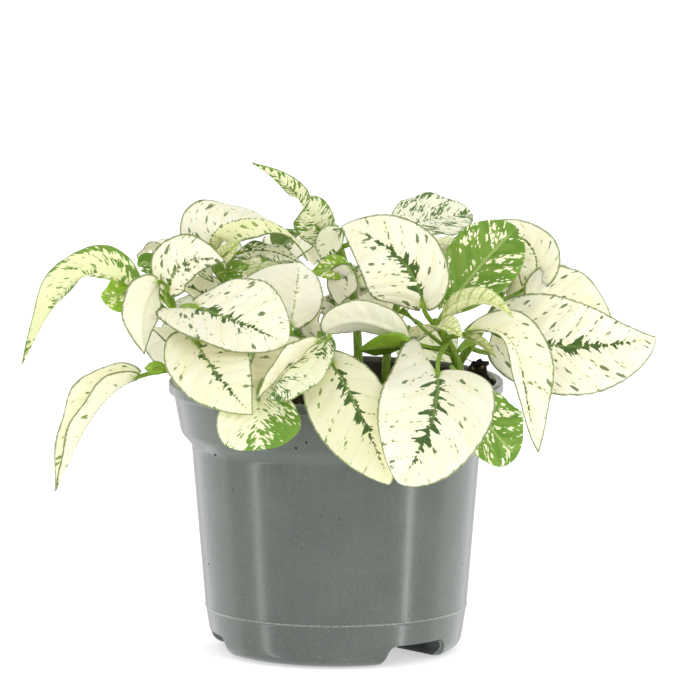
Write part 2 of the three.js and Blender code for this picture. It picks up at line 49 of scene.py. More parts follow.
# ---------------------------------------------------------------- the pot, as the frame has it
POT = {
    "height": 97.0,
    "lip_radius": 60.0,
    "lip_width": 2.4,
    "lip_height": 3.6,
    "collar_top": 58.2,
    "collar_foot": 55.6,
    "collar_foot_z": 79.0,
    "shoulder": 51.7,
    "shoulder_z": 74.6,
    "seam": 46.9,
    "seam_z": 16.0,
    "seam_rise": 0.34,
    "heel": 45.1,
    "heel_z": 4.5,
    "heel_curve": ((0.87, 0.58), (0.53, 0.2)),  # points of its round, as shares of its width and height
    "foot": 39.8,
    "ground": 1.4,
    "ring": 1.8,
    "hollow_z": 3.6,
    "wall": 1.2,
    "floor_z": 9.0,
    "floor_edge": 3.6,
    "floor_middle": 20.0,
}
# a notch's half width over its height: flat on top, then steeply down, then out along the ground. The pot's
# rings have their points close together at half widths within drawn, and above clear they stay level.
NOTCH = {
    "count": 3,
    "first": math.radians(-48.5),
    "side": (
        (8.6, 7.5), (9.8, 7.3), (10.8, 6.7), (11.5, 5.6), (11.9, 4.4), (12.4, 3.0), (13.0, 1.7), (13.8, 0.6),
        (14.9, 0.0),
    ),
    "drawn": (7.5, 15.5),
    "clear": 13.0,
}
NOTCH_TURNS = [NOTCH["first"] + k * TURN / NOTCH["count"] for k in range(NOTCH["count"])]
# the walls inside a notch: how far they run in, how far inside the foot they start, and how far under the
# floor they end
CHANNEL = {"reach": 20.0, "levels": 12, "rows": 5, "inset": 0.7, "gap": 0.1, "lowest": 0.05}
DRAIN = {"holes": 8, "radius": 3.5, "circle": 29.0, "heights": (2.0, 12.0), "sides": 32}

SOIL = {
    "top": 88.0,
    "lump": 1.6,
    "waves": (0.31, 0.37, 0.83, 0.59),
    "clump": {"x": 50.0, "y": 10.0, "radius": 13.0, "rise": 6.0},
    "heap": {"x": 51.5, "y": 12.0, "radius": 8.0, "rise": 8.5},
    "clearance": 0.35,
}
# crumbs and fibres: how many, how far from the axis they are strewn, and how far the clump's and the fibres
# may reach
BITS = {"crumbs": 900, "strewn": 55.2, "fibres": 70, "fibres_strewn": 54, "kept": 55.0}
# a fibre that sticks up from the heap, and bits of soil that cling to the pot: x, height, size and tone
FIBRE = ((52.0, 9.5, 98.0), (49.8, 9.0, 101.5), (46.0, 8.0, 103.7))
CLINGING = (
    (-42.6, 74.8, 0.9, 0.62), (-37.6, 74.9, 0.6, 0.93), (-36.5, 63.1, 0.5, 0.9), (-35.4, 59.9, 0.35, 1.0),
    (-45.5, 33.0, 0.4, 0.4), (-32.9, 25.3, 0.35, 0.5), (-14.0, 81.1, 0.7, 0.45), (-10.4, 83.2, 0.55, 0.5),
    (-11.5, 45.8, 0.3, 1.0), (43.0, 16.0, 0.35, 0.3), (-27.9, 91.5, 0.4, 0.95), (-12.9, 84.6, 0.3, 0.4),
)

# ---------------------------------------------------------------- the stage
# the camera, fitted to the photograph's view: it frames a square as wide as its span
VIEW = {"target": (5.0, 0.0, 107.9), "distance": 2800.0, "elevation": 8.5, "span": 250.6}
WORLD = (0.91, 1.0)  # its strength, and its strength as the camera and reflections see it
FLOOR = {"half": 60.0, "z": -2e-4, "colour": (0.85, 0.85, 0.85), "glow": 0.5}
# soft boxes: azimuth from the front toward +X, distance, height, width, length and power, in metres and
# watts; they face the axis at a height of AIM
AIM = 0.08
LAMPS = {
    "key": (-28, 1.3, 1.1, 1.1, 1.1, 1.1),
    "fill": (42, 1.3, 0.9, 1.0, 1.0, 3.0),
    "left_strip": (-68, 1.1, -0.32, 0.1, 1.3, 2.1),
    "right_strip": (63, 1.1, -0.32, 0.04, 1.3, 3.2),
    "left_glaze": (-125, 1.3, -0.1, 1.3, 1.6, 5.0),
    "right_glaze": (125, 1.3, -0.1, 1.3, 1.6, 5.0),
}


# ---------------------------------------------------------------- numbers
def mix(a, b, t):
    """a at t = 0 and b at t = 1."""
    return a + (b - a) * t


def smooth(low, high, value):
    """0 below low and 1 above high, with 3t^2 - 2t^3 between them."""
    t = np.clip((value - low) / (high - low), 0, 1)
    return t * t * (3 - 2 * t)


def bell(value, width):
    """1 at 0, and e^-(value / width)^2 beside it."""
    return np.exp(-((value / width) ** 2))


def unit(vectors):
    """Each vector divided by its length."""
    return vectors / np.maximum(np.linalg.norm(vectors, axis=-1, keepdims=True), 1e-12)


def grain(x, y, seed):
    """Smooth noise from -1 to 1: random heights on whole numbers, blended between them by 3t^2 - 2t^3."""
    heights = np.random.default_rng(seed).uniform(-1, 1, (64, 64))
    col, row = np.floor(x).astype(int), np.floor(y).astype(int)
    a, b = x - col, y - row
    a, b = a * a * (3 - 2 * a), b * b * (3 - 2 * b)
    col, row = col % 63, row % 63
    low = mix(heights[row, col], heights[row, col + 1], a)
    high = mix(heights[row + 1, col], heights[row + 1, col + 1], a)
    return mix(low, high, b)


def through(points, u):
    """The smooth curve through points at even steps of u: the polynomial that Lagrange's formula gives."""
    last = len(points) - 1
    steps = np.arange(last + 1)
    total = np.zeros((len(u), 3))
    for i, point in enumerate(points):
        others = steps[steps != i]
        total += np.prod((u[:, None] * last - others) / (i - others), axis=1)[:, None] * point
    return total


# ---------------------------------------------------------------- meshes
class Body:
    """Closed shells gathered into one mesh, with a finish for each face and marks for each point."""

    def __init__(self, name, finishes):
        self.name, self.finishes = name, list(finishes)
        self.points, self.quads, self.triangles, self.flats, self.slots, self.marks = [], [], [], [], [], []
        self.count = 0

    def add(self, points, quads, triangles=(), finish=None, flat=None, marks=None):
        """One shell. Its faces are turned round if the volume they enclose comes out negative."""
        points = np.asarray(points, float).reshape(-1, 3)
        quads = np.asarray(quads, int).reshape(-1, 4)
        triangles = np.asarray(triangles, int).reshape(-1, 3)
        halves = np.concatenate([quads[:, [0, 1, 2]], quads[:, [0, 2, 3]], triangles])
        a, b, c = (points[halves[:, k]] for k in range(3))
        if np.sum(a * np.cross(b, c)) < 0:
            quads, triangles = quads[:, ::-1], triangles[:, ::-1]
        slot = self.finishes.index(finish) if finish else 0
        flat = np.zeros(len(quads), bool) if flat is None else flat
        self.points.append(points)
        self.quads.append(quads + self.count)
        self.triangles.append(triangles + self.count)
        self.flats.append((flat, np.zeros(len(triangles), bool)))
        self.slots.append((np.full(len(quads), slot), np.full(len(triangles), slot)))
        self.marks.append(marks or {})
        self.count += len(points)

    def tube(self, rings, finish=None, marks=None):
        """A closed bar through rings (n, sides, 3), each end closed by a fan round its middle."""
        rows, sides = rings.shape[:2]
        points = np.concatenate([rings.reshape(-1, 3), rings[:1].mean(1), rings[-1:].mean(1)])
        quads = ring_quads(rows, sides)
        around = np.arange(sides)
        after = (around + 1) % sides
        last = (rows - 1) * sides
        start = np.stack([np.full(sides, rows * sides), after, around], 1)
        end = np.stack([np.full(sides, rows * sides + 1), last + around, last + after], 1)
        self.add(points, quads, np.concatenate([start, end]), finish, marks=marks)

    def build(self, names=()):
        """The mesh object at the origin, with its marks, and smooth faces but where they are marked flat."""
        points = np.concatenate(self.points) * MM
        quads, triangles = np.concatenate(self.quads), np.concatenate(self.triangles)
        mesh = bpy.data.meshes.new(self.name)
        mesh.vertices.add(len(points))
        mesh.vertices.foreach_set("co", points.ravel())
        loops = np.concatenate([quads.ravel(), triangles.ravel()])
        starts = np.concatenate([np.arange(len(quads)) * 4, quads.size + np.arange(len(triangles)) * 3])
        mesh.loops.add(len(loops))
        mesh.loops.foreach_set("vertex_index", loops)
        mesh.polygons.add(len(starts))
        mesh.polygons.foreach_set("loop_start", starts)
        mesh.update(calc_edges=True)

        def each_face(pairs):
            return np.concatenate([pair[k] for k in (0, 1) for pair in pairs])

        mesh.polygons.foreach_set("material_index", each_face(self.slots))
        mesh.polygons.foreach_set("use_smooth", ~each_face(self.flats))
        for name in names:
            shells = zip(self.marks, self.points)
            values = [np.broadcast_to(marks.get(name, 0.0), len(points)) for marks, points in shells]
            layer = mesh.attributes.new(name, "FLOAT", "POINT")
            layer.data.foreach_set("value", np.concatenate(values).astype(np.float32))
        for finish in self.finishes:
            mesh.materials.append(finish)
        mesh.validate()
        piece = bpy.data.objects.new(self.name, mesh)
        bpy.context.scene.collection.objects.link(piece)
        return piece


def ring_quads(rows, sides):
    """The faces between rings of points, each ring closed on itself."""
    row, col = np.meshgrid(np.arange(rows - 1), np.arange(sides), indexing="ij")
    here, after = row * sides + col, row * sides + (col + 1) % sides
    return np.stack([here, here + sides, after + sides, after], -1)


def sheet_quads(rows, columns):
    """The faces of a closed sheet whose rings run along one side and back on the other, and its two ends."""
    count = 2 * (columns + 1)
    k = np.arange(columns)
    cap = np.stack([k, k + 1, count - 2 - k, count - 1 - k], 1)
    return ring_quads(rows + 1, count).reshape(-1, 4), np.concatenate([cap, (cap + rows * count)[:, ::-1]])


def settle(piece, slot, *nodes):
    """The piece rides on the plant's one body and stands for its nodes; its slot is not used."""
    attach(piece, "root")
    if nodes:
        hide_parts(*nodes)


def bar_rings(path, radii, sides, ridge=0.0):
    """Rings round a path (n, 3): point + radius(cos t * across + sin t * other), where across is carried
    along the path without turning. ridge makes the section four-cornered: radius(1 + ridge cos 4t)."""
    along = unit(np.gradient(path, axis=0))
    across = np.array([1.0, 0, 0]) if abs(along[0][2]) > 0.9 else np.array([0, 0, 1.0])
    frames = []
    for direction in along:
        across = across - across.dot(direction) * direction
        across = across / np.linalg.norm(across)
        frames.append(across)
    across = np.array(frames)[:, None]
    other = np.cross(along[:, None], across)
    t = np.linspace(0, TURN, sides, endpoint=False)[:, None]
    size = np.asarray(radii)[:, None, None] * (1 + ridge * np.cos(4 * t))
    return path[:, None] + size * (np.cos(t) * across + np.sin(t) * other)


# ---------------------------------------------------------------- finishes
def paint(code):
    """A linear colour from its #rrggbb code."""
    parts = [int(code[k : k + 2], 16) / 255 for k in (1, 3, 5)]
    return tuple(c / 12.92 if c <= 0.04045 else ((c + 0.055) / 1.055) ** 2.4 for c in parts)


class Wire:
    """A socket that Python arithmetic works on: each operator adds its Math node."""

    def __init__(self, graph, socket):
        self.graph, self.socket = graph, socket

    def math(self, operation, *values, clamp=False):
        settings = {"operation": operation, "use_clamp": clamp}
        return self.graph.node("ShaderNodeMath", settings, dict(enumerate((self, *values))))

    def __add__(self, value):
        return self.math("ADD", value)

    __radd__ = __add__

    def __mul__(self, value):
        return self.math("MULTIPLY", value)

    __rmul__ = __mul__

    def __sub__(self, value):
        return self.math("SUBTRACT", value)

    def __rsub__(self, value):
        return self.graph.node("ShaderNodeMath", {"operation": "SUBTRACT"}, {0: value, 1: self})

    def __pow__(self, value):
        return self.math("POWER", value)

    def __abs__(self):
        return self.math("ABSOLUTE")

    def most(self, value):
        return self.math("MAXIMUM", value)

    def clamped(self):
        return self.math("ADD", 0.0, clamp=True)

    def rises(self, low, high):
        """0 below low and 1 above high, smooth between them; falls instead if high is under low."""
        if high < low:
            return 1 - self.rises(high, low)
        values = {"Value": self, "From Min": low, "From Max": high}
        return self.graph.node("ShaderNodeMapRange", {"interpolation_type": "SMOOTHSTEP"}, values)


class Graph:
    """The nodes of a material or of the world, and the shader that they feed."""

    def __init__(self, owner, shader):
        owner.use_nodes = True
        self.tree = owner.node_tree
        self.shader = next(node for node in self.tree.nodes if node.type == shader)

    def node(self, kind, settings=None, values=None, output=0):
        """A node of one kind: its settings first, then the values or the wires of its sockets."""
        node = self.tree.nodes.new(kind)
        for key, value in (settings or {}).items():
            if key == "stops":
                for at, (place, code) in enumerate(value):
                    stop = node.color_ramp.elements[at] if at < 2 else node.color_ramp.elements.new(place)
                    stop.position, stop.color = place, (*paint(code), 1.0)
            else:
                setattr(node, key, value)
        for key, value in (values or {}).items():
            self.join(value, node.inputs[key])
        return Wire(self, node.outputs[output])

    def join(self, value, socket):
        """A wire, a number, a list or a #rrggbb code goes into a socket."""
        if isinstance(value, Wire):
            self.tree.links.new(value.socket, socket)
            return
        value = paint(value) if isinstance(value, str) else value
        if not hasattr(socket.default_value, "__len__"):
            socket.default_value = value
        elif hasattr(value, "__len__"):
            socket.default_value = (*value, 1.0)[: len(socket.default_value)]
        else:
            socket.default_value = [value] * len(socket.default_value)

    def set(self, **sockets):
        """Values or wires of the shader's sockets, named with low lines for their spaces."""
        for key, value in sockets.items():
            name = key.replace("_", " ").title().replace("Ior", "IOR")
            self.join(value, self.shader.inputs[name])


def light_through(amount, reach):
    """The shader's numbers for light that soaks in: how much, and how many millimetres of each colour."""
    return {"subsurface_weight": amount, "subsurface_scale": MM, "subsurface_radius": reach}


class Finish(Graph):
    """A material and its nodes."""

    def __init__(self, name, **constants):
        self.material = bpy.data.materials.new(name)
        super().__init__(self.material, "BSDF_PRINCIPLED")
        self.set(**constants)

    def parts(self, vector):
        split = self.node("ShaderNodeSeparateXYZ", None, {0: vector})
        return [Wire(self, split.socket.node.outputs[k]) for k in range(3)]

    def mark(self, name):
        """The number that a mesh carries at each point under this name."""
        return self.node("ShaderNodeAttribute", {"attribute_name": name}, output="Fac")

    def place(self):
        """The point in the plant's own frame, in millimetres."""
        point = self.node("ShaderNodeTexCoord", output="Object")
        return self.node("ShaderNodeVectorMath", {"operation": "SCALE"}, {0: point, "Scale": 1 / MM})

    def join3(self, x, y, z):
        return self.node("ShaderNodeCombineXYZ", None, {0: x, 1: y, 2: z})

    def noise(self, where, scale, detail=2.0, roughness=0.5, distortion=0.0):
        values = {"Vector": where, "Scale": scale, "Detail": detail, "Roughness": roughness}
        return self.node("ShaderNodeTexNoise", None, {**values, "Distortion": distortion})

    def cells(self, where, size):
        """For cells of a size: the distance to a cell's seed, and the cell's own three random numbers."""
        values = {"Vector": where, "Scale": 1 / size}
        distance = self.node("ShaderNodeTexVoronoi", None, values, output="Distance")
        colour = Wire(self, distance.socket.node.outputs["Color"])
        return distance, self.parts(colour)

    def blend(self, amount, a, b):
        """Colour a where amount is 0 and b where it is 1."""
        return self.node("ShaderNodeMix", {"data_type": "RGBA"}, {0: amount, 6: a, 7: b}, output=2)

    def coats(self, colour, *layers):
        """A colour under layers laid on in turn, each an amount and a colour."""
        for amount, layer in layers:
            colour = self.blend(amount, colour, layer)
        return colour

    def finished(self, colour, roughness, height, depth, strength):
        """The material, with its colour, its roughness and a bump of a depth in millimetres."""
        values = {"Height": height, "Distance": depth * MM, "Strength": strength}
        self.set(base_color=colour, roughness=roughness, normal=self.node("ShaderNodeBump", None, values))
        return self.material


# What a blade carries at each point: u along it, and phase, which grows by 1 from one lateral vein to the
# next; in millimetres, x across it, run along its veins and edge, the distance to its margin; the leaf's seed
# and size; under, 1 on its lower face; its habit's three numbers; and how much of the pattern the face shows,
# its glow and its lean.
LEAF_MARKS = (
    "u", "phase", "x", "run", "edge", "seed", "size", "under",
    "rib", "specks", "flush", "shows", "glow", "lean",
)


class LeafFinish(Finish):
    """A leaf's material, with the marks of LEAF_MARKS under their own names."""

    def __init__(self, name, gloss, amount, reach):
        super().__init__(name, specular_ior_level=gloss, **light_through(amount, reach))
        for mark in LEAF_MARKS:
            setattr(self, mark, self.mark(mark))
        self.away = abs(self.x)
        self.flow = self.over(1.0, 1.0)
        # near is 0 on a lateral vein and 0.5 between two; lateral and middle are 1 on those and on the midrib
        self.near = abs((self.phase + 0.5).math("FRACT") - 0.5)
        self.lateral = self.near.rises(0.075, 0.02) * self.edge.rises(0.6, 3.0)
        self.middle = self.away.rises(0.75, 0.25) * self.u.rises(0.97, 0.8)

    def over(self, across, along, shift=37.0):
        """Where a pattern stretched by these shares lies on the blade, elsewhere for each leaf's seed."""
        return self.join3(self.x * across, self.run * along, self.seed * shift)

    def spots(self, across, cell, amount, grows, least, ragged, soft, softer):
        """Irregular spots, one in each cell whose first random number is under amount, of the size least and
        up to grows more; soft and softer are how gently they come and how soft their margins are."""
        where = self.join3(self.x * across, self.run, self.seed * 23.0 + cell)
        distance, (gate, grow, _) = self.cells(where, cell)
        there = (amount - gate).rises(0.0, soft)
        return (grow * grows + least + ragged - distance).rises(0.0, softer) * there

    def leafy(self, colour, roughness):
        """The material, with a fine grain and sunken veins."""
        fine = self.noise(self.flow, 1.6, 3.0, 0.6)
        height = fine * 0.5 - self.lateral * 0.7 - self.middle * 0.6
        return self.finished(colour, roughness, height, 0.16, 0.7)


def white_leaf(name):
    """Cream white, with a jagged dark green stripe that hugs the midrib and runs out along the lateral veins,
    specks in rows along those veins, and a fine broken green margin. Its underside is plain and paler."""
    f = LeafFinish(name, 0.25, 0.6, (1.5, 1.45, 1.4))
    half = f.x.rises(-0.05, 0.05)
    broad = f.noise(f.over(0.12, 0.16), 1.0, 1.0)
    fingers = f.noise(f.join3(half * 5.0 + f.x * 0.09, f.run * 0.3, f.seed * 61.0), 1.0, 2.0, 0.55)
    crisp = f.noise(f.over(1.0, 1.15), 0.75, 3.0, 0.62)

    cream = f.blend(f.noise(f.flow, 0.12, 2.0).rises(0.35, 0.7), "#fdf7db", "#faf1cc")
    cream = f.coats(
        cream,
        (f.flush * (broad * 0.8 + 0.4), "#e9eba8"),
        (f.glow * (broad * 0.6 + 0.6), "#cfdf83"),
        (f.lateral * (0.3 - f.under * 0.15), "#e6e2ab"),
        (f.under * 0.6, "#fdf6d8"),
    )

    length_ways = f.u.rises(0.0, 0.1) * f.u.rises(0.92, 0.5)
    reach = (fingers.rises(0.46, 0.68) * 3.7 * f.size + 0.95) * f.rib * length_ways * 4.2
    jag = (crisp - 0.5) * 6.0 * f.rib.rises(0.0, 0.15)
    stripe = (reach - 0.35 - f.away + jag).rises(0.0, 0.12)
    stripe = stripe * f.rib.rises(0.01, 0.03) * f.shows * length_ways.rises(0.02, 0.15)
    spine = (crisp - 0.43 - f.away * 0.3).rises(0.0, 0.05) * f.u.rises(0.95, 0.8)
    stripe = stripe.most(spine * f.shows * f.rib.rises(0.0, 0.05))

    def dots(cell, amount, size, rough):
        room = amount * (broad - 0.3) * 1.5 + f.near.rises(0.2, 0.03) * amount * 0.9
        return f.spots(0.85, cell, room, size, size * 0.5, (crisp - 0.5) * rough, 0.02, 0.05)

    blots = dots(4.6, f.specks * 0.4 + f.rib * 0.3, 0.15, 0.85)
    marks = dots(2.5, f.specks * 0.75, 0.32, 0.9)
    small = dots(1.2, f.specks * 0.4, 0.3, 0.8)
    edging = f.edge.rises(1.3, 0.1) * (fingers * 0.5 + crisp * 0.5 + f.specks * 0.08).rises(0.53, 0.58)

    yellow = (f.flush + f.glow).clamped()
    dark = f.blend(crisp, "#34501f", "#54732f")
    dots_dark = f.blend(yellow, f.blend(crisp, "#375222", "#617c37"), "#7d9b30")
    colour = f.coats(
        cream,
        (small * f.shows * 0.7, "#8ea34e"),
        (marks * f.shows * 0.9, dots_dark),
        (blots * f.shows, dots_dark),
        (edging * 0.85, "#59722e"),
        (f.edge.rises(0.75, 0.3) * 0.9, "#5f7339"),
        (stripe, f.blend(f.middle * f.u.rises(0.6, 0.3) * 0.6, dark, "#86a550")),
        (f.u.rises(0.09, 0.0) * f.away.rises(3.0, 0.6) * 0.8, "#9cb95a"),
    )
    return f.leafy(colour, 0.46 + crisp * 0.14)


def green_leaf(name, ground, deep, fleck):
    """Mid green with a pale midrib and clear cream flecks in clusters between the veins."""
    f = LeafFinish(name, 0.25, 0.25, (0.8, 1.2, 0.3))
    broad = f.noise(f.over(0.13, 0.2), 1.0, 1.0)
    crisp = f.noise(f.flow, 1.1, 2.0, 0.6)

    def flecks(cell, spare):
        room = (broad - 0.5) * 4.5 + f.specks - 0.35 + f.near.rises(0.0, 0.5) * 0.25 - spare
        return f.spots(1.0, cell, room, 0.34, 0.34 * 0.7, (crisp - 0.5) * 0.9, 0.03, 0.07)

    bright = flecks(1.5, 0.0).most(flecks(2.6, 0.05)) * f.middle.rises(0.5, 0.1)
    colour = f.coats(
        f.blend(f.noise(f.flow, 0.15, 2.0).rises(0.3, 0.7), ground, deep),
        (f.near.rises(0.2, 0.02) * 0.25, deep),
        (bright * (0.4 + f.shows * 0.6), fleck),
        (f.middle * 0.7, "#a9c070"),
        (f.under * 0.5, "#a4bd74"),
        (f.edge.rises(0.35, 0.1) * 0.6, "#7f9f4c"),
    )
    return f.leafy(colour, 0.42 + crisp * 0.14)


def young_leaf(name):
    """Cream and pale yellow between fine green veins, for the small leaves that still unfold."""
    f = LeafFinish(name, 0.3, 0.6, (1.4, 1.45, 1.2))
    crisp = f.noise(f.flow, 1.3, 3.0, 0.6)
    net = f.noise(f.over(0.7, 1.2, 17.0), 0.8, 2.0, 0.5, 0.4)
    veins = f.near.rises(0.16, 0.05).most(abs(net - 0.5).rises(0.04, 0.012))
    colour = f.coats(
        f.blend(crisp.rises(0.35, 0.65), "#fbf9d0", "#ecf0b0"),
        (veins * 0.65, "#8fa83f"),
        (f.middle * 0.6, "#a6bf58"),
        (f.edge.rises(0.6, 0.1) * 0.7, "#84a046"),
        (f.under * 0.3, "#f0efbe"),
    )
    return f.leafy(colour, 0.42 + crisp * 0.14)


def netted_leaf(name, ground, net, fine_scale):
    """Cream broken by fine green streaks that run out along the veins, closest together near the margin."""
    f = LeafFinish(name, 0.25, 0.4, (1.3, 1.3, 1.2))
    crisp = f.noise(f.flow, 1.6, 2.0, 0.6)
    broad = f.noise(f.over(0.14, 0.14), 1.0, 1.0)
    streaks = f.noise(f.over(0.55, 1.3, 61.0), fine_scale, 2.0, 0.6, 0.3)
    amount = (f.specks - 0.62) * 0.3 + (broad - 0.5) * 0.5 + f.edge.rises(3.0, 0.3) * 0.09
    amount = amount + f.middle * 0.2 * f.rib + (f.u - 0.5 - f.x * 0.04) * f.lean
    green = (streaks + amount - 0.565).rises(0.0, 0.035) * f.shows.rises(-0.1, 0.3)
    colour = f.coats(
        f.blend(f.noise(f.flow, 0.2, 2.0), ground, "#f2f3ca"),
        ((f.flush + f.glow).clamped() * 0.7, "#d3de7e"),
        (green, f.blend(crisp, net, "#6a8c3c")),
        (f.edge.rises(0.55, 0.2) * 0.8, "#66833c"),
    )
    return f.leafy(colour, 0.44 + crisp * 0.14)


def plain_leaf(name):
    """The smooth green of the small leaves low in the bush."""
    f = LeafFinish(name, 0.25, 0.25, (0.8, 1.2, 0.3))
    crisp = f.noise(f.flow, 0.6, 3.0)
    colour = f.coats(
        f.blend(crisp, "#9bbd42", "#7da42c"),
        (f.middle * 0.6, "#aec86a"),
        (f.edge.rises(0.4, 0.1) * 0.6, "#4c7428"),
    )
    return f.leafy(colour, 0.38 + crisp * 0.12)


def stem_finish(name):
    """Juicy green with long pale streaks."""
    f = Finish(name, specular_ior_level=0.3, **light_through(0.3, (0.9, 1.2, 0.3)))
    place = f.place()
    x, y, z = f.parts(place)
    streak = f.noise(f.join3(x * 1.6, y * 1.6, z * 0.25), 1.0, 3.0, 0.6)
    fine = f.noise(place, 2.5, 2.0)
    colour = f.blend(streak.rises(0.35, 0.65), "#668a1c", "#93b13e")
    colour = f.blend(z.rises(100.0, 88.0) * 0.5, colour, "#607d22")
    return f.finished(colour, 0.36 + fine * 0.14, streak * 0.7 + fine * 0.3, 0.12, 0.6)


def pot_finish(name):
    """Moulded grey-green plastic: soft clouding and a fine mottle from the melt, faint upright draw marks,
    light scuffs round the lip and the foot, a pale moulding line, specks of dried soil, and a film of it
    inside."""
    f = Finish(name, specular_ior_level=0.5)
    place = f.place()
    x, y, z = f.parts(place)
    cloud = f.noise(place, 0.045, 3.0, 0.55)
    draw = f.noise(f.join3(x * 0.9, y * 0.9, z * 0.02), 1.0, 2.0)
    fine = f.noise(place, 1.6, 3.0, 0.7)
    scuff = f.noise(f.join3(x * 0.25, y * 0.25, z * 1.8), 1.0, 3.0, 0.65).rises(0.62, 0.75)
    worn = scuff * (z.rises(90.0, 97.0) + z.rises(14.0, 3.0) + 0.12).clamped()
    seam = abs(z - POT["seam_z"]).rises(0.42, 0.1)
    distance, (gate, grow, _) = f.cells(place, 5.5)
    specks = (grow * 0.07 + 0.03 + (fine - 0.5) * 0.06 - distance).rises(0.0, 0.02)
    specks = specks * (f.noise(place, 0.035, 1.0) * 0.9 - gate).rises(0.0, 0.05)
    outer = (z - POT["collar_foot_z"]) * 0.18 + POT["collar_foot"]
    inside = (outer - (x * x + y * y) ** 0.5).rises(0.5, 1.0) * z.rises(96.2, 94.8) * z.rises(79.5, 81.0)
    colour = f.coats(
        f.blend(cloud.rises(0.3, 0.7), "#4d544f", "#565c57"),
        (fine.rises(0.3, 0.7) * 0.3, "#747b75"),
        (draw.rises(0.5, 0.8) * 0.15, "#6f766f"),
        (worn * 0.5, "#8a918b"),
        (seam * fine.rises(0.3, 0.6) * 0.6, "#a2a8a2"),
        (specks * 0.75, "#3a332b"),
        (inside * (0.8 + cloud * 0.3).clamped(), "#2b281c"),
    )
    roughness = 0.14 + cloud * 0.06 + fine * 0.06 + worn * 0.2 + specks * 0.3 + inside * 0.5
    return f.finished(colour, roughness, fine * 0.4 + draw * 0.4 + specks * 1.2, 0.05, 0.5)


def painted_shade_hollow_finish(name):
    """The same plastic under the floor, dull, with painted shade: near black where it runs in under the pot,
    and paler out at the foot's ring where the painted shade lifts.
    """
    f = Finish(name, specular_ior_level=0.2)
    place = f.place()
    x, y, _ = f.parts(place)
    cloud = f.noise(place, 0.3, 3.0, 0.6)
    # painted shade: darkest inward under the pot, fading toward the foot's ring
    rim = ((x * x + y * y) ** 0.5).rises(34.0, 43.0)
    colour = f.blend(rim, f.blend(cloud.rises(0.3, 0.7), "#141615", "#202322"), "#4a504b")
    return f.finished(colour, 0.6 + cloud * 0.2, cloud, 0.1, 0.5)


def soil_finish(name):
    """Dark, fibrous potting soil with tan bits of bark in it."""
    f = Finish(name, specular_ior_level=0.25)
    place = f.place()
    cloud = f.noise(place, 0.35, 4.0, 0.65)
    fine = f.noise(place, 1.8, 4.0, 0.7)
    distance, (gate, grow, _) = f.cells(place, 1.9)
    bits = (gate - 0.86).rises(0.0, 0.02) * distance.rises(0.5, 0.3)
    colour = f.blend(cloud.rises(0.3, 0.7), "#15100c", "#33261c")
    colour = f.blend(bits * 0.8, colour, f.blend(grow, "#6b5335", "#9a8464"))
    return f.finished(colour, 0.85 + fine * 0.12, cloud * 0.7 + fine * 0.6, 0.9, 0.9)


def crumb_finish(name):
    """Crumbs of soil, bark and pale fibre, each with its own shade."""
    f = Finish(name, specular_ior_level=0.25)
    fine = f.noise(f.place(), 2.2, 3.0, 0.7)
    shades = ((0.0, "#0f0b08"), (1.0, "#b09a76"), (0.55, "#2c2118"), (0.8, "#4e3b28"), (0.93, "#84693f"))
    colour = f.node("ShaderNodeValToRGB", {"stops": shades}, {0: f.mark("tone") + (fine - 0.5) * 0.2})
    return f.finished(colour, 0.8 + fine * 0.15, fine, 0.4, 0.8)


FINISH = {
    "white": white_leaf("leaf_white"),
    "green": green_leaf("leaf_green", "#789938", "#5f8824", "#f4f3ce"),
    "bright": green_leaf("leaf_bright", "#9cc03e", "#84ac2c", "#f6f6c8"),
    "netted": netted_leaf("leaf_netted", "#fbfae2", "#3c5c2c", 0.85),
    "streaked": netted_leaf("leaf_streaked", "#f7f6d0", "#69931f", 0.7),
    "young": young_leaf("leaf_young"),
    "plain": plain_leaf("leaf_plain"),
    "stem": stem_finish("stem_green"),
    "pot": pot_finish("pot_plastic"),
    "hollow": painted_shade_hollow_finish("pot_underside_painted_shade"),
    "soil": soil_finish("potting_soil"),
    "crumb": crumb_finish("soil_crumbs"),
}
LEAFAGE = ("white", "green", "bright", "netted", "streaked", "young", "plain", "stem")


# ---------------------------------------------------------------- pot
CURVE_STEPS = 6  # the points of an eased corner


def rounded(outline):
    """A run of (radius, height, ease) points with its corners eased: each becomes the curve (1-t)^2 a +
    2t(1-t) corner + t^2 b, with a and b on its two sides, ease away or less than half the side."""
    outline = np.array(outline)
    points, ease = outline[:, :2], outline[1:-1, 2:]
    corner = points[1:-1]

    def toward(end):
        span = np.linalg.norm(end - corner, axis=1, keepdims=True)
        return (corner + (end - corner) / span * np.minimum(ease, span * 0.45))[:, None]

    t = np.linspace(0, 1, CURVE_STEPS)[None, :, None]
    back, on = toward(points[:-2]), toward(points[2:])
    curves = (1 - t) ** 2 * back + 2 * t * (1 - t) * corner[:, None] + t**2 * on
    return np.concatenate([points[:1], curves.reshape(-1, 2), points[-1:]])


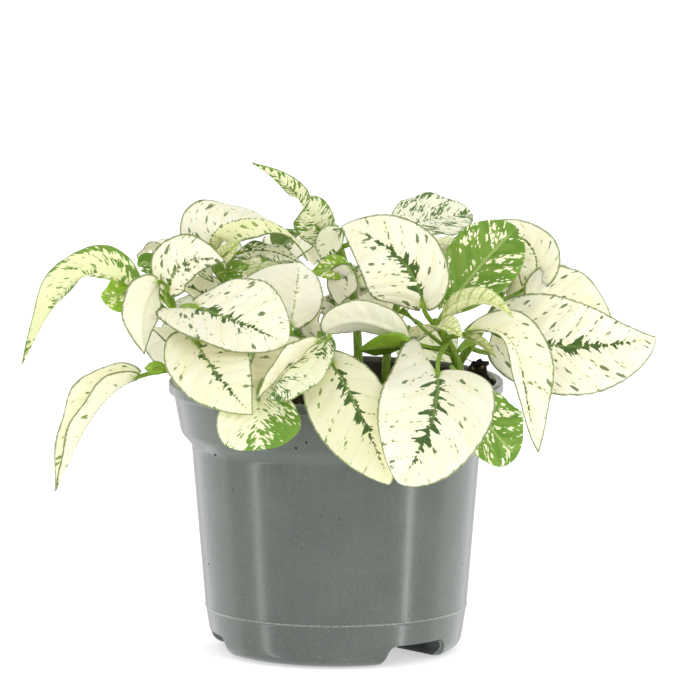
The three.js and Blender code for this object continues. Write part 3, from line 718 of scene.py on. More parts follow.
def pot_profile():
    """The pot's outline as four runs of radius and height: up the inside from the floor, down the outside
    with even steps below the moulding line, up into the hollow under the foot, and in under the floor."""
    p = POT
    ceiling = p["floor_z"] - p["wall"]
    hollow = p["heel"] - p["ring"]
    inside = rounded([
        (p["floor_middle"], p["floor_z"], 0),
        (p["seam"] - p["wall"] - p["floor_edge"], p["floor_z"], 3.0),
        (p["seam"] - p["wall"], p["seam_z"], 3.0),
        (p["shoulder"] - p["wall"], p["shoulder_z"] + 0.6, 2.0),
        (p["collar_foot"] - p["wall"], p["collar_foot_z"] + 0.4, 2.0),
        (p["collar_top"] - p["wall"], p["height"] - 1.2, 0.8),
        (p["lip_radius"] - p["lip_width"], p["height"], 0),
    ])[:-1]
    outside = rounded([
        (p["lip_radius"] - p["lip_width"], p["height"], 0),
        (p["lip_radius"] - 0.25, p["height"], 0.5),
        (p["lip_radius"], p["height"] - 0.5, 0.5),
        (p["lip_radius"], p["height"] - p["lip_height"], 0.7),
        (p["collar_top"], p["height"] - p["lip_height"] - 0.5, 0.5),
        (p["collar_foot"], p["collar_foot_z"], 1.6),
        (p["shoulder"] + 0.35, p["shoulder_z"] + 0.35, 1.4),
        (p["shoulder"], p["shoulder_z"] - 1.4, 1.2),
        (p["seam"] + 0.12, p["seam_z"] + 0.6, 0.3),
        (p["seam"] + p["seam_rise"], p["seam_z"], 0.3),
        (p["seam"] - 0.08, p["seam_z"] - 0.6, 0.3),
        (p["heel"], p["heel_z"], 1.4),
        *((mix(p["foot"], p["heel"], out), up * p["heel_z"], 1.0) for out, up in p["heel_curve"]),
        (p["foot"], 0, 0),
    ])
    heights = np.linspace(p["seam_z"] - 1.5, 0, 34)
    low = np.stack([np.interp(heights, outside[::-1, 1], outside[::-1, 0]), heights], 1)
    outside = np.concatenate([outside[outside[:, 1] > p["seam_z"] - 1.4], low])
    under = rounded([
        (p["foot"] - p["ground"], 0, 0),
        (hollow, p["hollow_z"], 1.5),
        (hollow, ceiling, 0.8),
        (30.0, ceiling, 0),
    ])[:-1]
    below = rounded([(31.0, ceiling, 0), (10.0, ceiling, 1.0), (4.0, ceiling, 0)])
    return np.concatenate([inside[:1] * (0.3, 1), inside]), outside, under, below


def notch_height(turn):
    """How high the foot is cut away at each angle: arches with the sides of NOTCH."""
    spread = TURN / NOTCH["count"]
    off = (turn - NOTCH["first"] + spread / 2) % spread - spread / 2
    across, height = zip(*NOTCH["side"])
    return np.interp(np.abs(POT["foot"] * np.sin(off)), across, height)


def squeezed(height, low, high):
    """Heights from 0 to high, squeezed up to run from low to high: low + height (high - low) / high."""
    return low + height * (high - low) / high


def make_pot():
    """The profile swept round the axis. Outside and in the hollow, the heights are squeezed up to the
    notches' arches, and each point takes the radius that its profile has at its new height."""
    runs = pot_profile()
    _, outside, hollow, _ = runs
    run = np.repeat(["inside", "outside", "hollow", "below"], [len(points) for points in runs])[:, None]
    steps = np.arcsin(np.linspace(*NOTCH["drawn"], 32) / POT["foot"])
    notches = [middle + sign * steps for middle in NOTCH_TURNS for sign in (-1, 1)]
    even = np.linspace(0, TURN, 240, endpoint=False)
    turn = np.unique(np.round(np.concatenate([even, *notches]) % TURN, 5))

    profile = np.concatenate(runs)
    radius, height = (np.repeat(profile[:, k : k + 1], len(turn), 1) for k in (0, 1))
    arch, clear, ceiling = notch_height(turn)[None, :], NOTCH["clear"], POT["floor_z"] - POT["wall"]
    outer = (run == "outside") & (height < clear)
    ring = (run == "hollow") & (height < ceiling)
    steep = ring & (height < ceiling - 0.9)
    height = np.where(outer, squeezed(height, arch, clear), height)
    height = np.where(ring, squeezed(height, np.minimum(arch, ceiling - 0.05), ceiling), height)
    radius = np.where(outer, np.interp(height, outside[::-1, 1], outside[::-1, 0]), radius)
    slope = hollow[: 1 + CURVE_STEPS]
    radius = np.where(steep, np.interp(height, slope[:, 1], slope[:, 0]), radius)

    body = Body("nursery_pot", [FINISH["pot"]])
    body.tube(np.stack([radius * np.cos(turn), radius * np.sin(turn), height], -1))
    settle(drilled(body.build()), "pot_plastic", "pot")


def drilled(pot):
    """The pot with its drainage holes cut through the floor."""
    drills = Body("drills", [FINISH["pot"]])
    t = np.linspace(0, TURN, DRAIN["sides"], endpoint=False)
    for k in range(DRAIN["holes"]):
        at = TURN * (k + 0.5) / DRAIN["holes"]
        middle = DRAIN["circle"] * np.array([math.cos(at), math.sin(at)])
        circle = middle + DRAIN["radius"] * np.stack([np.cos(t), np.sin(t)], 1)
        drills.tube(np.stack([np.column_stack([circle, np.full(len(t), z)]) for z in DRAIN["heights"]]))
    cutter = drills.build()
    cut = pot.modifiers.new("drain", "BOOLEAN")
    cut.operation, cut.object, cut.solver = "DIFFERENCE", cutter, "EXACT"
    bpy.context.view_layer.update()
    mesh = bpy.data.meshes.new_from_object(pot.evaluated_get(bpy.context.evaluated_depsgraph_get()))
    pot.modifiers.clear()
    pot.data = mesh
    bpy.data.objects.remove(cutter)
    return pot


def make_channels():
    """Two walls run in from each notch's sides under the floor. Their section follows the notch's side, and
    they start inside the foot ring, at the square root of r^2 - across^2."""
    # the walls take the underside's finish, painted dark as shade
    body = Body("foot_channels", [FINISH["hollow"]])
    side, height = (np.array(v) for v in zip(*NOTCH["side"]))
    level = np.linspace(CHANNEL["lowest"], POT["floor_z"] - POT["wall"] - CHANNEL["gap"], CHANNEL["levels"])
    radii = POT["foot"] - CHANNEL["inset"], POT["heel"] - POT["ring"] / 2
    ring = np.interp(level, (0, POT["hollow_z"]), radii)
    across = np.interp(level, height[::-1], side[::-1]) * ring / POT["foot"]
    ring = np.concatenate([ring, ring[::-1]])
    across = np.concatenate([across, across[::-1] + POT["wall"]])
    level = np.concatenate([level, level[::-1]])
    start = np.sqrt(ring**2 - across**2)
    inward = mix(start, start - CHANNEL["reach"], np.linspace(0, 1, CHANNEL["rows"])[:, None])
    quads = np.concatenate(sheet_quads(CHANNEL["rows"] - 1, CHANNEL["levels"] - 1))
    for turn in NOTCH_TURNS:
        for sign in (-1, 1):
            x = inward * math.cos(turn) - sign * across * math.sin(turn)
            y = inward * math.sin(turn) + sign * across * math.cos(turn)
            body.add(np.stack([x, y, level + 0 * inward], -1), quads)
    settle(body.build(), "pot_plastic")


# ---------------------------------------------------------------- soil
def soil_top(x, y):
    """The frame's top, level plus two slow waves and the clump's rise (1 - near^2)^2; over it a heap of the
    same form and the grain of crumbs."""
    a, b, c, d = SOIL["waves"]
    lumps = SOIL["lump"] * (np.sin(a * x + 1) * np.cos(b * y) + 0.5 * np.sin(c * x - d * y))
    rise = 0
    for clump in (SOIL["clump"], SOIL["heap"]):
        near = np.minimum(np.hypot(x - clump["x"], y - clump["y"]) / clump["radius"], 1)
        rise = rise + clump["rise"] * (1 - near**2) ** 2
    grains = ((0.75, 0.55, 3), (0.45, 1.3, 4), (0.2, 2.9, 5))
    crumbs = sum(size * grain(x * often, y * often, seed) for size, often, seed in grains)
    return SOIL["top"] + lumps + rise + crumbs


def soil_edge(height):
    """The radius of the soil's side at a height: the inside of the pot, just clear of it."""
    p = POT
    heights = [p["floor_z"], p["seam_z"], p["shoulder_z"] + 0.6, p["collar_foot_z"] + 0.4, p["height"]]
    radii = [p["seam"] - p["floor_edge"], p["seam"], p["shoulder"], p["collar_foot"], p["collar_top"]]
    return np.interp(height, heights, radii) - p["wall"] - SOIL["clearance"]


def make_soil():
    """A plug swept round the axis, whose top is a disc of rings lifted to soil_top."""
    p = POT
    turn = np.linspace(0, TURN, 220, endpoint=False)
    side_z = np.array([p["floor_z"] + 0.3, p["seam_z"], 45.0, p["shoulder_z"], p["collar_foot_z"], 83.0])
    side_r = soil_edge(side_z)
    disc = (soil_edge(SOIL["top"] - 2) - 0.1) * np.linspace(1, 0.004, 110)
    radius = np.concatenate([side_r[:1] * 0.3, side_r, disc])
    x, y = radius[:, None] * np.cos(turn), radius[:, None] * np.sin(turn)
    height = soil_top(x, y)
    height[: 1 + len(side_z)] = np.concatenate([side_z[:1], side_z])[:, None]
    body = Body("soil_plug", [FINISH["soil"]])
    body.tube(np.stack([x, y, height], -1))
    settle(body.build(), "potting_soil", "soil")


def pot_side(height):
    """The radius of the pot's outside at a height over its moulding line."""
    p = POT
    heights = [p["seam_z"], p["shoulder_z"], p["collar_foot_z"], p["height"] - p["lip_height"]]
    return np.interp(height, heights, [p["seam"], p["shoulder"], p["collar_foot"], p["collar_top"]])


def make_crumbs():
    """Crumbs, each a small ball of rings squashed and turned by its own random draw, and bent fibres, laid on
    the soil's top; a few of the crumbs cling to the pot's front."""
    draw = np.random.default_rng(11)
    body = Body("soil_bits", [FINISH["crumb"]])
    around, rise = np.meshgrid(np.linspace(0, TURN, 6, endpoint=False), np.linspace(-1.35, 1.35, 4))
    ball = np.stack([np.cos(rise) * np.cos(around), np.cos(rise) * np.sin(around), np.sin(rise)], -1)
    clump = SOIL["clump"]

    def scattered(radius):
        """A random distance within a radius, even over its disc, and a random angle."""
        return radius * math.sqrt(draw.random()), draw.random() * TURN

    def turned():
        return np.linalg.qr(draw.normal(size=(3, 3)))[0]

    for k in range(BITS["crumbs"]):
        reach, at = scattered(BITS["strewn"])
        x, y = reach * math.cos(at), reach * math.sin(at)
        if k % 5 == 0:
            reach, at = scattered(clump["radius"] * 0.75)
            x, y = clump["x"] - 3 + reach * math.cos(at), clump["y"] + reach * math.sin(at)
            x, y = np.array([x, y]) * min(1, BITS["kept"] / math.hypot(x, y))
        size = draw.uniform(0.35, 1.0) ** 2 * 1.6 * draw.uniform(0.6, 1.0, 3)
        pose = turned()
        lumpy = ball * (1 + 0.3 * draw.uniform(-1, 1, ball.shape[:2]))[..., None]
        place = np.array([x, y, soil_top(np.array(x), np.array(y)) + size.min() * 0.35])
        body.tube(lumpy * size @ pose + place, marks={"tone": draw.random() ** 0.8})
    for _ in range(BITS["fibres"]):
        reach, at = scattered(BITS["fibres_strewn"])
        way = draw.random() * TURN
        length, bend = draw.uniform(3, 9), draw.uniform(-0.5, 0.5)
        t = np.linspace(-0.5, 0.5, 9)
        x = reach * math.cos(at) + length * t * math.cos(way) - bend * length * t**2 * math.sin(way)
        y = reach * math.sin(at) + length * t * math.sin(way) + bend * length * t**2 * math.cos(way)
        keep = np.minimum(1, BITS["kept"] / np.hypot(x, y))
        z = soil_top(x * keep, y * keep) + 0.5 + 0.8 * np.cos(3 * t)
        rings = bar_rings(np.column_stack([x * keep, y * keep, z]), 0.12 + 0.1 * np.cos(math.pi * t), 5)
        body.tube(rings, marks={"tone": draw.uniform(0.7, 1.0)})
    t = np.linspace(0, 1, 12)
    body.tube(bar_rings(through(FIBRE, t), 0.3 - 0.18 * t, 6), marks={"tone": 0.3})
    for x, z, size, tone in CLINGING:
        pose = turned()
        place = np.array([x, -math.sqrt(pot_side(z) ** 2 - x * x), z])
        body.tube(ball * size * draw.uniform(0.6, 1.0, 3) @ pose + place, marks={"tone": tone})
    settle(body.build(["tone"]), "potting_soil")


# ---------------------------------------------------------------- shoots
# Each stem: its foot (x, y) in the soil, its bend, its top and its radius at both ends, as the frame has it.
STEMS = {
    "centre": ((45, -8), (45, -8, 104), (35, -12, 121), (2.0, 1.3)),
    "right": ((42, 22), (50, 18, 106), (60, 12, 127), (1.7, 1.2)),
    "middle": ((-4, -25), (-5, -27, 104), (-6, -28, 119), (1.7, 1.2)),
    "left": ((-40, -8), (-52, -9, 108), (-61, -9, 130), (1.7, 1.2)),
    "left_back": ((-26, 16), (-34, 12, 118), (-43, 4, 141), (1.6, 1.1)),
    "top": ((8, 14), (8, 14, 125), (0, 12, 147), (1.7, 1.1)),
    "back_left": ((-16, 40), (-20, 48, 115), (-24, 52, 132), (1.6, 1.1)),
    "back_right": ((18, 40), (22, 47, 115), (26, 52, 134), (1.6, 1.1)),
}
# A stem stands upright in the soil from low to high. Its curve starts at the mouth of its hole, and keeps
# upright for a share of the way to its bend, the lift.
UPRIGHT = {"low": 79.0, "high": 91.5, "mouth": 92.0, "rings": 6, "lift": 0.6}


def stem_path(stem, t):
    """The cubic curve (1-t)^3 a + 3t(1-t)^2 b + 3t^2(1-t) c + t^3 d from the soil up, leaving it upright."""
    foot, bend, top, _ = STEMS[stem]
    start = np.array([*foot, UPRIGHT["mouth"]], float)
    lift = np.array([*foot, mix(UPRIGHT["mouth"], bend[2], UPRIGHT["lift"])])
    t = np.asarray(t, float)[:, None]
    low = (1 - t) ** 3 * start + 3 * t * (1 - t) ** 2 * lift
    return low + 3 * t**2 * (1 - t) * np.array(bend) + t**3 * np.array(top)


def stem_point(stem, height):
    """The point of the stem nearest to a height."""
    points = stem_path(stem, np.linspace(0, 1, 201))
    return points[np.argmin(np.abs(points[:, 2] - height))]


SHOOTS = {stem: [] for stem in STEMS}  # each stem's leaves
# Each kind's usual stripe, specks and yellow flush.
HABIT = {
    "white": (0.2, 0.5, 0.05),
    "green": (0.0, 0.6, 0.0),
    "bright": (0.0, 0.65, 0.0),
    "netted": (0.5, 0.5, 0.0),
    "streaked": (0.0, 0.5, 0.0),
    "young": (0.0, 0.0, 0.0),
    "plain": (0.0, 0.0, 0.0),
}


def leaf(stem, kind, height, midrib, **form):
    """One leaf: the height on its stem where its stalk leaves, its midrib from base to tip, and its form.

    For both halves of the blade, or for its left and its right half, as its upper face is seen with the tip
    upward: wide: how wide it is; fold, tip_fold: degrees that it rises out of flat, at the base and at the
    tip; lobe: how far it sweeps back past the base, as a share of its width; peak: where along the midrib it
    is widest; full: how fast it narrows from there; habit: how much stripe, speck and yellow flush it has.

    For the blade: face: which way its upper face looks, all along or at its base and at its tip; wave: how
    far its margin waves; both: how much of the pattern its lower face shows, and glow: how green that face
    is; lean: how much greener it is toward its tip and one side; small: it has fewer faces and a thinner
    stalk.
    """
    usual = {
        "wide": 10, "face": ((0, -1, 0.5), (0, -1, 0.2)), "fold": 8, "lobe": 0.25,
        "peak": 0.36, "full": 1.55, "wave": 0.2 if form.get("small") else 0.8, "habit": HABIT[kind],
        "both": 0.12, "glow": 0, "lean": 0, "small": False,
    }
    form = {**usual, **form}
    form.setdefault("tip_fold", form["fold"])
    midrib = np.array(midrib, float)
    SHOOTS[stem].append({**form, "kind": kind, "stem": stem, "height": height, "midrib": midrib})


def spray(stem, kind, height, azimuth, reach, rises, **form):
    """A leaf that reaches out from its stem at an azimuth: the distances of its base and tip from the stem,
    and the heights of its base, middle and tip over the point where its stalk leaves."""
    turn = math.radians(azimuth)
    out = np.array([math.cos(turn), math.sin(turn)])
    foot = stem_point(stem, height)
    spans = (reach[0], sum(reach) / 2, reach[1])
    midrib = [(*(foot[:2] + out * span), foot[2] + rise) for span, rise in zip(spans, rises)]
    usual = {"face": ((*(-0.3 * out), 1), (*out, 0.7)), "lobe": 0.45, "peak": 0.42, "full": 1.25}
    leaf(stem, kind, height, midrib, **{**usual, **form})


# the centre shoot, to the right of the middle
leaf("centre", "white", 112, [(36, -38, 106), (33, -67, 91), (22, -75, 72)], wide=(21, 20),
     face=((0, -0.6, 1), (-0.1, -1, 0.15)), fold=(4, 16), lobe=(0.05, 1.2), peak=(0.35, 0.45), full=(1, 1.2),
     habit=(0.3, 0.45, 0.05))
leaf("centre", "white", 117, [(31, -14, 126), (22, -17, 144), (2, -10, 154)], wide=(16.5, 14.5),
     face=((-0.4, -1, 0.3), (-0.1, -1, 0.5)), lobe=0.15, peak=0.4, full=1.4, habit=(0.22, 0.75, 0.05))
leaf("centre", "green", 119, [(40, -8, 125), (53, 0, 140), (65, 8, 151)], wide=(13.5, 13),
     face=((-0.2, -1, 0.2), (0, -1, 0.4)), peak=0.5, full=1.3, habit=(0, 0.7, 0))
leaf("centre", "young", 118, [(39, -13, 121), (51, -20, 128), (63, -24, 123)], wide=6,
     face=(0, -0.6, 1), fold=50, small=True)
leaf("centre", "young", 116, [(36, -15, 118), (40, -22, 119), (45, -25, 116)], wide=5,
     face=(0, -0.6, 1), fold=(40, 30), small=True)
leaf("centre", "young", 113, [(45, -14, 115), (51, -16, 112.5), (57, -18, 108)], wide=3,
     face=(0, -0.6, 1), fold=40, small=True)
leaf("centre", "plain", 105, [(44, -7, 109), (48, -5, 111), (53, -4, 111)], wide=6,
     face=(0, 0.6, 1), small=True)
leaf("centre", "white", 114, [(48, -18, 117), (62, -24, 115), (67, -28, 99), (72, -26, 75)], wide=(12, 8),
     face=((0.3, -0.6, 1), (0.5, -1, 0.2)), fold=(20, 35), peak=0.45, habit=(0.05, 0.6, 0.2), both=1)
leaf("centre", "white", 110, [(26, -20, 114.5), (9, -31, 123), (-4.5, -34, 119.5)], wide=(10, 8),
     face=(0, 0.75, 0.65), lobe=0, peak=0.55, full=1.3, wave=0.3, habit=(0, 0.3, 0))
leaf("centre", "plain", 107, [(24, -22, 113), (16, -26, 113), (8, -28, 112)], wide=7,
     face=(0, 0.7, 0.7), small=True)
leaf("centre", "plain", 109, [(29, -4, 118.5), (26, 0, 120.5), (22, 2, 121.5)], wide=5,
     face=(0, 0.6, 0.8), small=True)
leaf("centre", "green", 98, [(45, -43, 101), (55, -48, 87), (64, -46, 77)], wide=13,
     face=((0.3, -0.6, 1), (0.4, -0.9, 0.2)), peak=0.5, full=1.3, habit=(0, 0.45, 0))

# the right shoot
leaf("right", "white", 115, [(64, 0, 111.5), (89, -5, 110), (114.4, -2, 113)], wide=(18, 19),
     face=(-0.1, -1, 0.4), lobe=(0.7, 0.5), peak=(0.28, 0.4), full=(1.5, 1.15),
     habit=(0.29, 0.7, 0.0))
leaf("right", "white", 124, [(69, 16, 129), (72, 18, 138), (66, 24, 146), (51, 26, 150)], wide=9,
     face=((-0.3, -1, 0.2), (0, -1, 0.6)), fold=10, tip_fold=-30, peak=0.4,
     habit=(0.05, 0.7, 0.12), both=1, glow=0.05)
leaf("right", "white", 120, [(71, 10, 125), (84, 13, 124), (99, 12, 118)], wide=(13, 11),
     face=(0, -0.8, 0.6), habit=(0.12, 0.5, 0.1))
spray("right", "white", 118, 65, (13, 50), (8, 12, -8), wide=17)
spray("right", "white", 106, 28, (16, 54), (0, 6, -16), wide=17)
spray("right", "netted", 123, 112, (10, 44), (5, 10, 0), wide=15)

# the middle shoot, at the front
leaf("middle", "white", 113, [(-2, -46, 111), (9, -63, 94), (19, -66, 70)], wide=(12, 17),
     face=((-0.3, -0.6, 1), (-0.2, -1, 0.15)), fold=(-10, 8), lobe=0.5, peak=0.42, full=1.3,
     habit=(0.26, 0.2, 0.6))
leaf("middle", "netted", 109, [(-3, -42, 118), (-13, -62, 106), (-24, -68, 101)], wide=7,
     face=(-0.3, -1, 0.8), habit=(0, 0.55, 0.2), both=1)
leaf("middle", "white", 112, [(-6, -44, 117), (-17, -57, 110), (-28, -66, 100)], wide=(4, 6),
     face=(-0.5, -1, 0.6), fold=50, habit=(0, 0.2, 0.15))
leaf("middle", "white", 108, [(-11, -38, 114), (-21, -46, 108), (-30, -52, 100)], wide=11,
     face=(-0.3, -1, 0.5), habit=(0, 0.2, 0.4))
leaf("middle", "white", 111, [(-16, -32, 122), (-14, -28, 133), (-13, -20, 142)], wide=(10, 19),
     face=(0, 1, 0.1), lobe=(0.2, 0.1), peak=(0.45, 0.55), full=(1.2, 1),
     habit=(0.05, 0.15, 0.05), both=0.6)
leaf("middle", "white", 112, [(-6, -28, 116), (-9, -28, 122), (-4, -26, 127)], wide=4,
     face=(0, 1, 0.2), small=True)
leaf("middle", "streaked", 99, [(-27, -56, 101), (-27, -64, 92), (-26, -63, 82)], wide=15,
     face=((0, -0.6, 1), (0, -1, 0.1)), peak=0.55, full=1.1, habit=(0, 0.7, 0.15), lean=0.27)
leaf("middle", "plain", 106, [(-8, -31, 112), (-12, -32, 111), (-16, -33, 110)], wide=4,
     face=(0, -1, 0.5), small=True)

# the left shoot
leaf("left", "streaked", 120, [(-73, -8, 133), (-88, -12, 138), (-100, -14, 128), (-112, -14, 105)],
     wide=(12, 7), face=((0, 0.7, 0.8), (-0.9, 0.6, 0.4)), fold=(10, 20), habit=(0, 0.63, 0.22), both=1,
     glow=0.18, lean=-0.12)
leaf("left", "bright", 118, [(-73, -6, 131), (-78.5, -9, 129), (-84, -10, 129.5)], wide=7,
     face=(0, -1, 0.3), small=True, habit=(0, 0.7, 0))
leaf("left", "white", 101, [(-71, -20, 101), (-83, -24, 93), (-92, -26, 79), (-100, -26, 61)], wide=(7, 12),
     face=((-0.6, 0, 1), (-1, 0, 0.5)), fold=60, habit=(0, 0.6, 0.5), both=1)
leaf("left", "white", 122, [(-64, -16, 134), (-69, -22, 125), (-68, -24, 110)], wide=8,
     face=(-0.3, 1, 0.3), habit=(0, 0.2, 0.25), both=0.8)
leaf("left", "white", 124, [(-60, -14, 132), (-53, -22, 143), (-39, -24, 143)], wide=(11, 9),
     face=((-0.3, -1, 0.5), (0, -1, 0.6)), habit=(0.14, 1.7, 0))
leaf("left", "white", 121, [(-50, -30, 128), (-34, -48, 125), (-17, -52, 118)], wide=(17, 13),
     face=((0, -0.8, 0.6), (0, -1, 0.3)), lobe=(0.3, 1.2), peak=(0.5, 0.35), full=(1.2, 1.05),
     habit=(0.22, 0.6, 0))
leaf("left", "white", 112, [(-49, -36, 116), (-41, -58, 107), (-29, -67, 95)], wide=(14, 15),
     face=((0, -0.8, 0.7), (0, -1, 0.3)), lobe=(0.3, 0.8), habit=(0.16, 0.35, 0.4))
leaf("left", "green", 124, [(-65, 0, 136), (-68, 4, 139), (-71, 6, 137)], wide=4,
     face=(0, -1, 0.3), small=True)
leaf("left", "plain", 104, [(-61, -23, 105), (-65, -24, 105), (-68, -24, 105)], wide=2.5,
     face=(0, -1, 0.3), small=True)
spray("left", "white", 110, 108, (12, 40), (1, 2, -14), wide=14)

# the shoot behind it
leaf("left_back", "white", 138, [(-44, -1, 144), (-40, -6, 154), (-24, -2, 155), (-10, 0, 140)], wide=(15, 9),
     face=((-0.3, -1, 0), (0.3, 0.7, 2)), fold=(5, -45), lobe=(0.4, 0.2),
     habit=(0.05, (1.1, 0.9), (0, 0.9)), both=0.8, glow=0.8)
leaf("left_back", "netted", 130, [(-35, 6, 142), (-23, 4, 143), (-10, 2, 137)], wide=(5, 8),
     face=(0, -0.4, 1), habit=(0.8, 0.62, 0), both=1)
leaf("left_back", "young", 135, [(-41, -8, 142), (-38, -10, 145), (-34, -12, 149)], wide=4,
     face=(0, -1, 0.3), fold=40, small=True)
leaf("left_back", "green", 128, [(-39, -6, 137), (-35, -8, 138), (-31, -8, 140)], wide=4,
     face=(0, -1, 0.6), small=True)
spray("left_back", "white", 118, 150, (13, 46), (4, 8, -12), wide=16)
spray("left_back", "netted", 131, 118, (11, 46), (4, 9, -6), wide=(15, 16))
spray("left_back", "white", 137, 160, (8, 32), (4, 8, 2), wide=11)

# the top shoot
leaf("top", "streaked", 141, [(-5, 10, 149), (-10, 8, 157), (-16, 6, 166), (-30, 4, 175)], wide=7.5,
     face=((-0.2, -1.6, 0.4), (0, 1.6, 1.2)), peak=0.25, full=1.3, wave=0, habit=(0.3, 0.58, 0.1), both=1)
leaf("top", "netted", 143, [(1, 8, 150), (-3, 6, 145), (-4, 4, 139)], wide=5,
     face=(0, 1, 0.2), small=True, habit=(0, 0.4, 0.1), both=1)
leaf("top", "bright", 135, [(4, 6, 138), (-2, 2, 137), (-9, 0, 136)], wide=5,
     face=(0, -1, 0.5), small=True)
leaf("top", "white", 130, [(5, 4, 136), (2, 0, 131), (1, -2, 124)], wide=6,
     face=(0, 1, 0.2), small=True, habit=(0, 0.4, 0), both=1)
leaf("top", "netted", 143, [(23, 12, 151), (35, 18, 153), (49, 24, 154)], wide=13,
     face=(0, -0.5, 0.85), peak=0.5, full=1.2, habit=(0.3, 0.64, 0))
spray("top", "white", 126, 86, (12, 41), (4, 7, -6), wide=15)
spray("top", "white", 116, 122, (12, 36), (2, 6, -6), wide=12)
spray("top", "green", 141, 130, (10, 36), (3, 6, -2), wide=12)

# the two shoots at the back
spray("back_left", "white", 128, 112, (9, 29), (4, 6, -14), wide=18)
spray("back_left", "netted", 116, 165, (12, 48), (2, 4, -17), wide=17)
spray("back_left", "green", 104, 95, (14, 33), (0, -2, -24), wide=16)
spray("back_left", "white", 130, 60, (9, 31), (4, 8, -2), wide=12)
spray("back_left", "young", 132, 258, (8, 25), (1, 2, -3), wide=8)
spray("back_right", "white", 130, 43, (9, 37), (4, 8, -10), wide=16)
spray("back_right", "white", 120, 100, (10, 30), (3, 3, -18), wide=16)
spray("back_right", "streaked", 106, 65, (14, 36), (0, -2, -26), wide=16)
spray("back_right", "green", 132, 165, (8, 28), (5, 11, 10), wide=9)
spray("back_right", "young", 134, 330, (8, 26), (4, 7, 3), wide=9)

# ---------------------------------------------------------------- leaves
NEAR = 1e-3  # how far on either side of a point its midrib's direction is taken
TIP = (1.05, 0.35)  # half widths of a blade where it leaves its stalk and at its tip
HEEL = 0.25  # how broad a lobe ends, as a share of how far it sweeps back
WAVE = (2.5, 0.3)  # how often the margin waves, and how the waves slant
BLADE = {"thick": 0.42, "rim": 0.2, "pairs": 6.5, "usual_width": 16, "rows": 60, "columns": 34}
SMALL = {"rows": 30, "columns": 16, "stalk": 0.75}
FURROW = {"depth": 0.45, "width": 0.9}
RIDGE = {"height": 0.7, "width": 0.75}
STALK = {"radius": 0.95, "neck": 0.7, "end": 0.35, "sunk": 4.0, "sunk_rings": 4, "sides": 12}
STEM = {"sides": 20, "ridge": 0.06, "swelling": 0.28, "swollen": 1.6}
SEED = {"first": 1.0, "stem": 2.31, "leaf": 0.173}  # each leaf's own number, from which its pattern follows


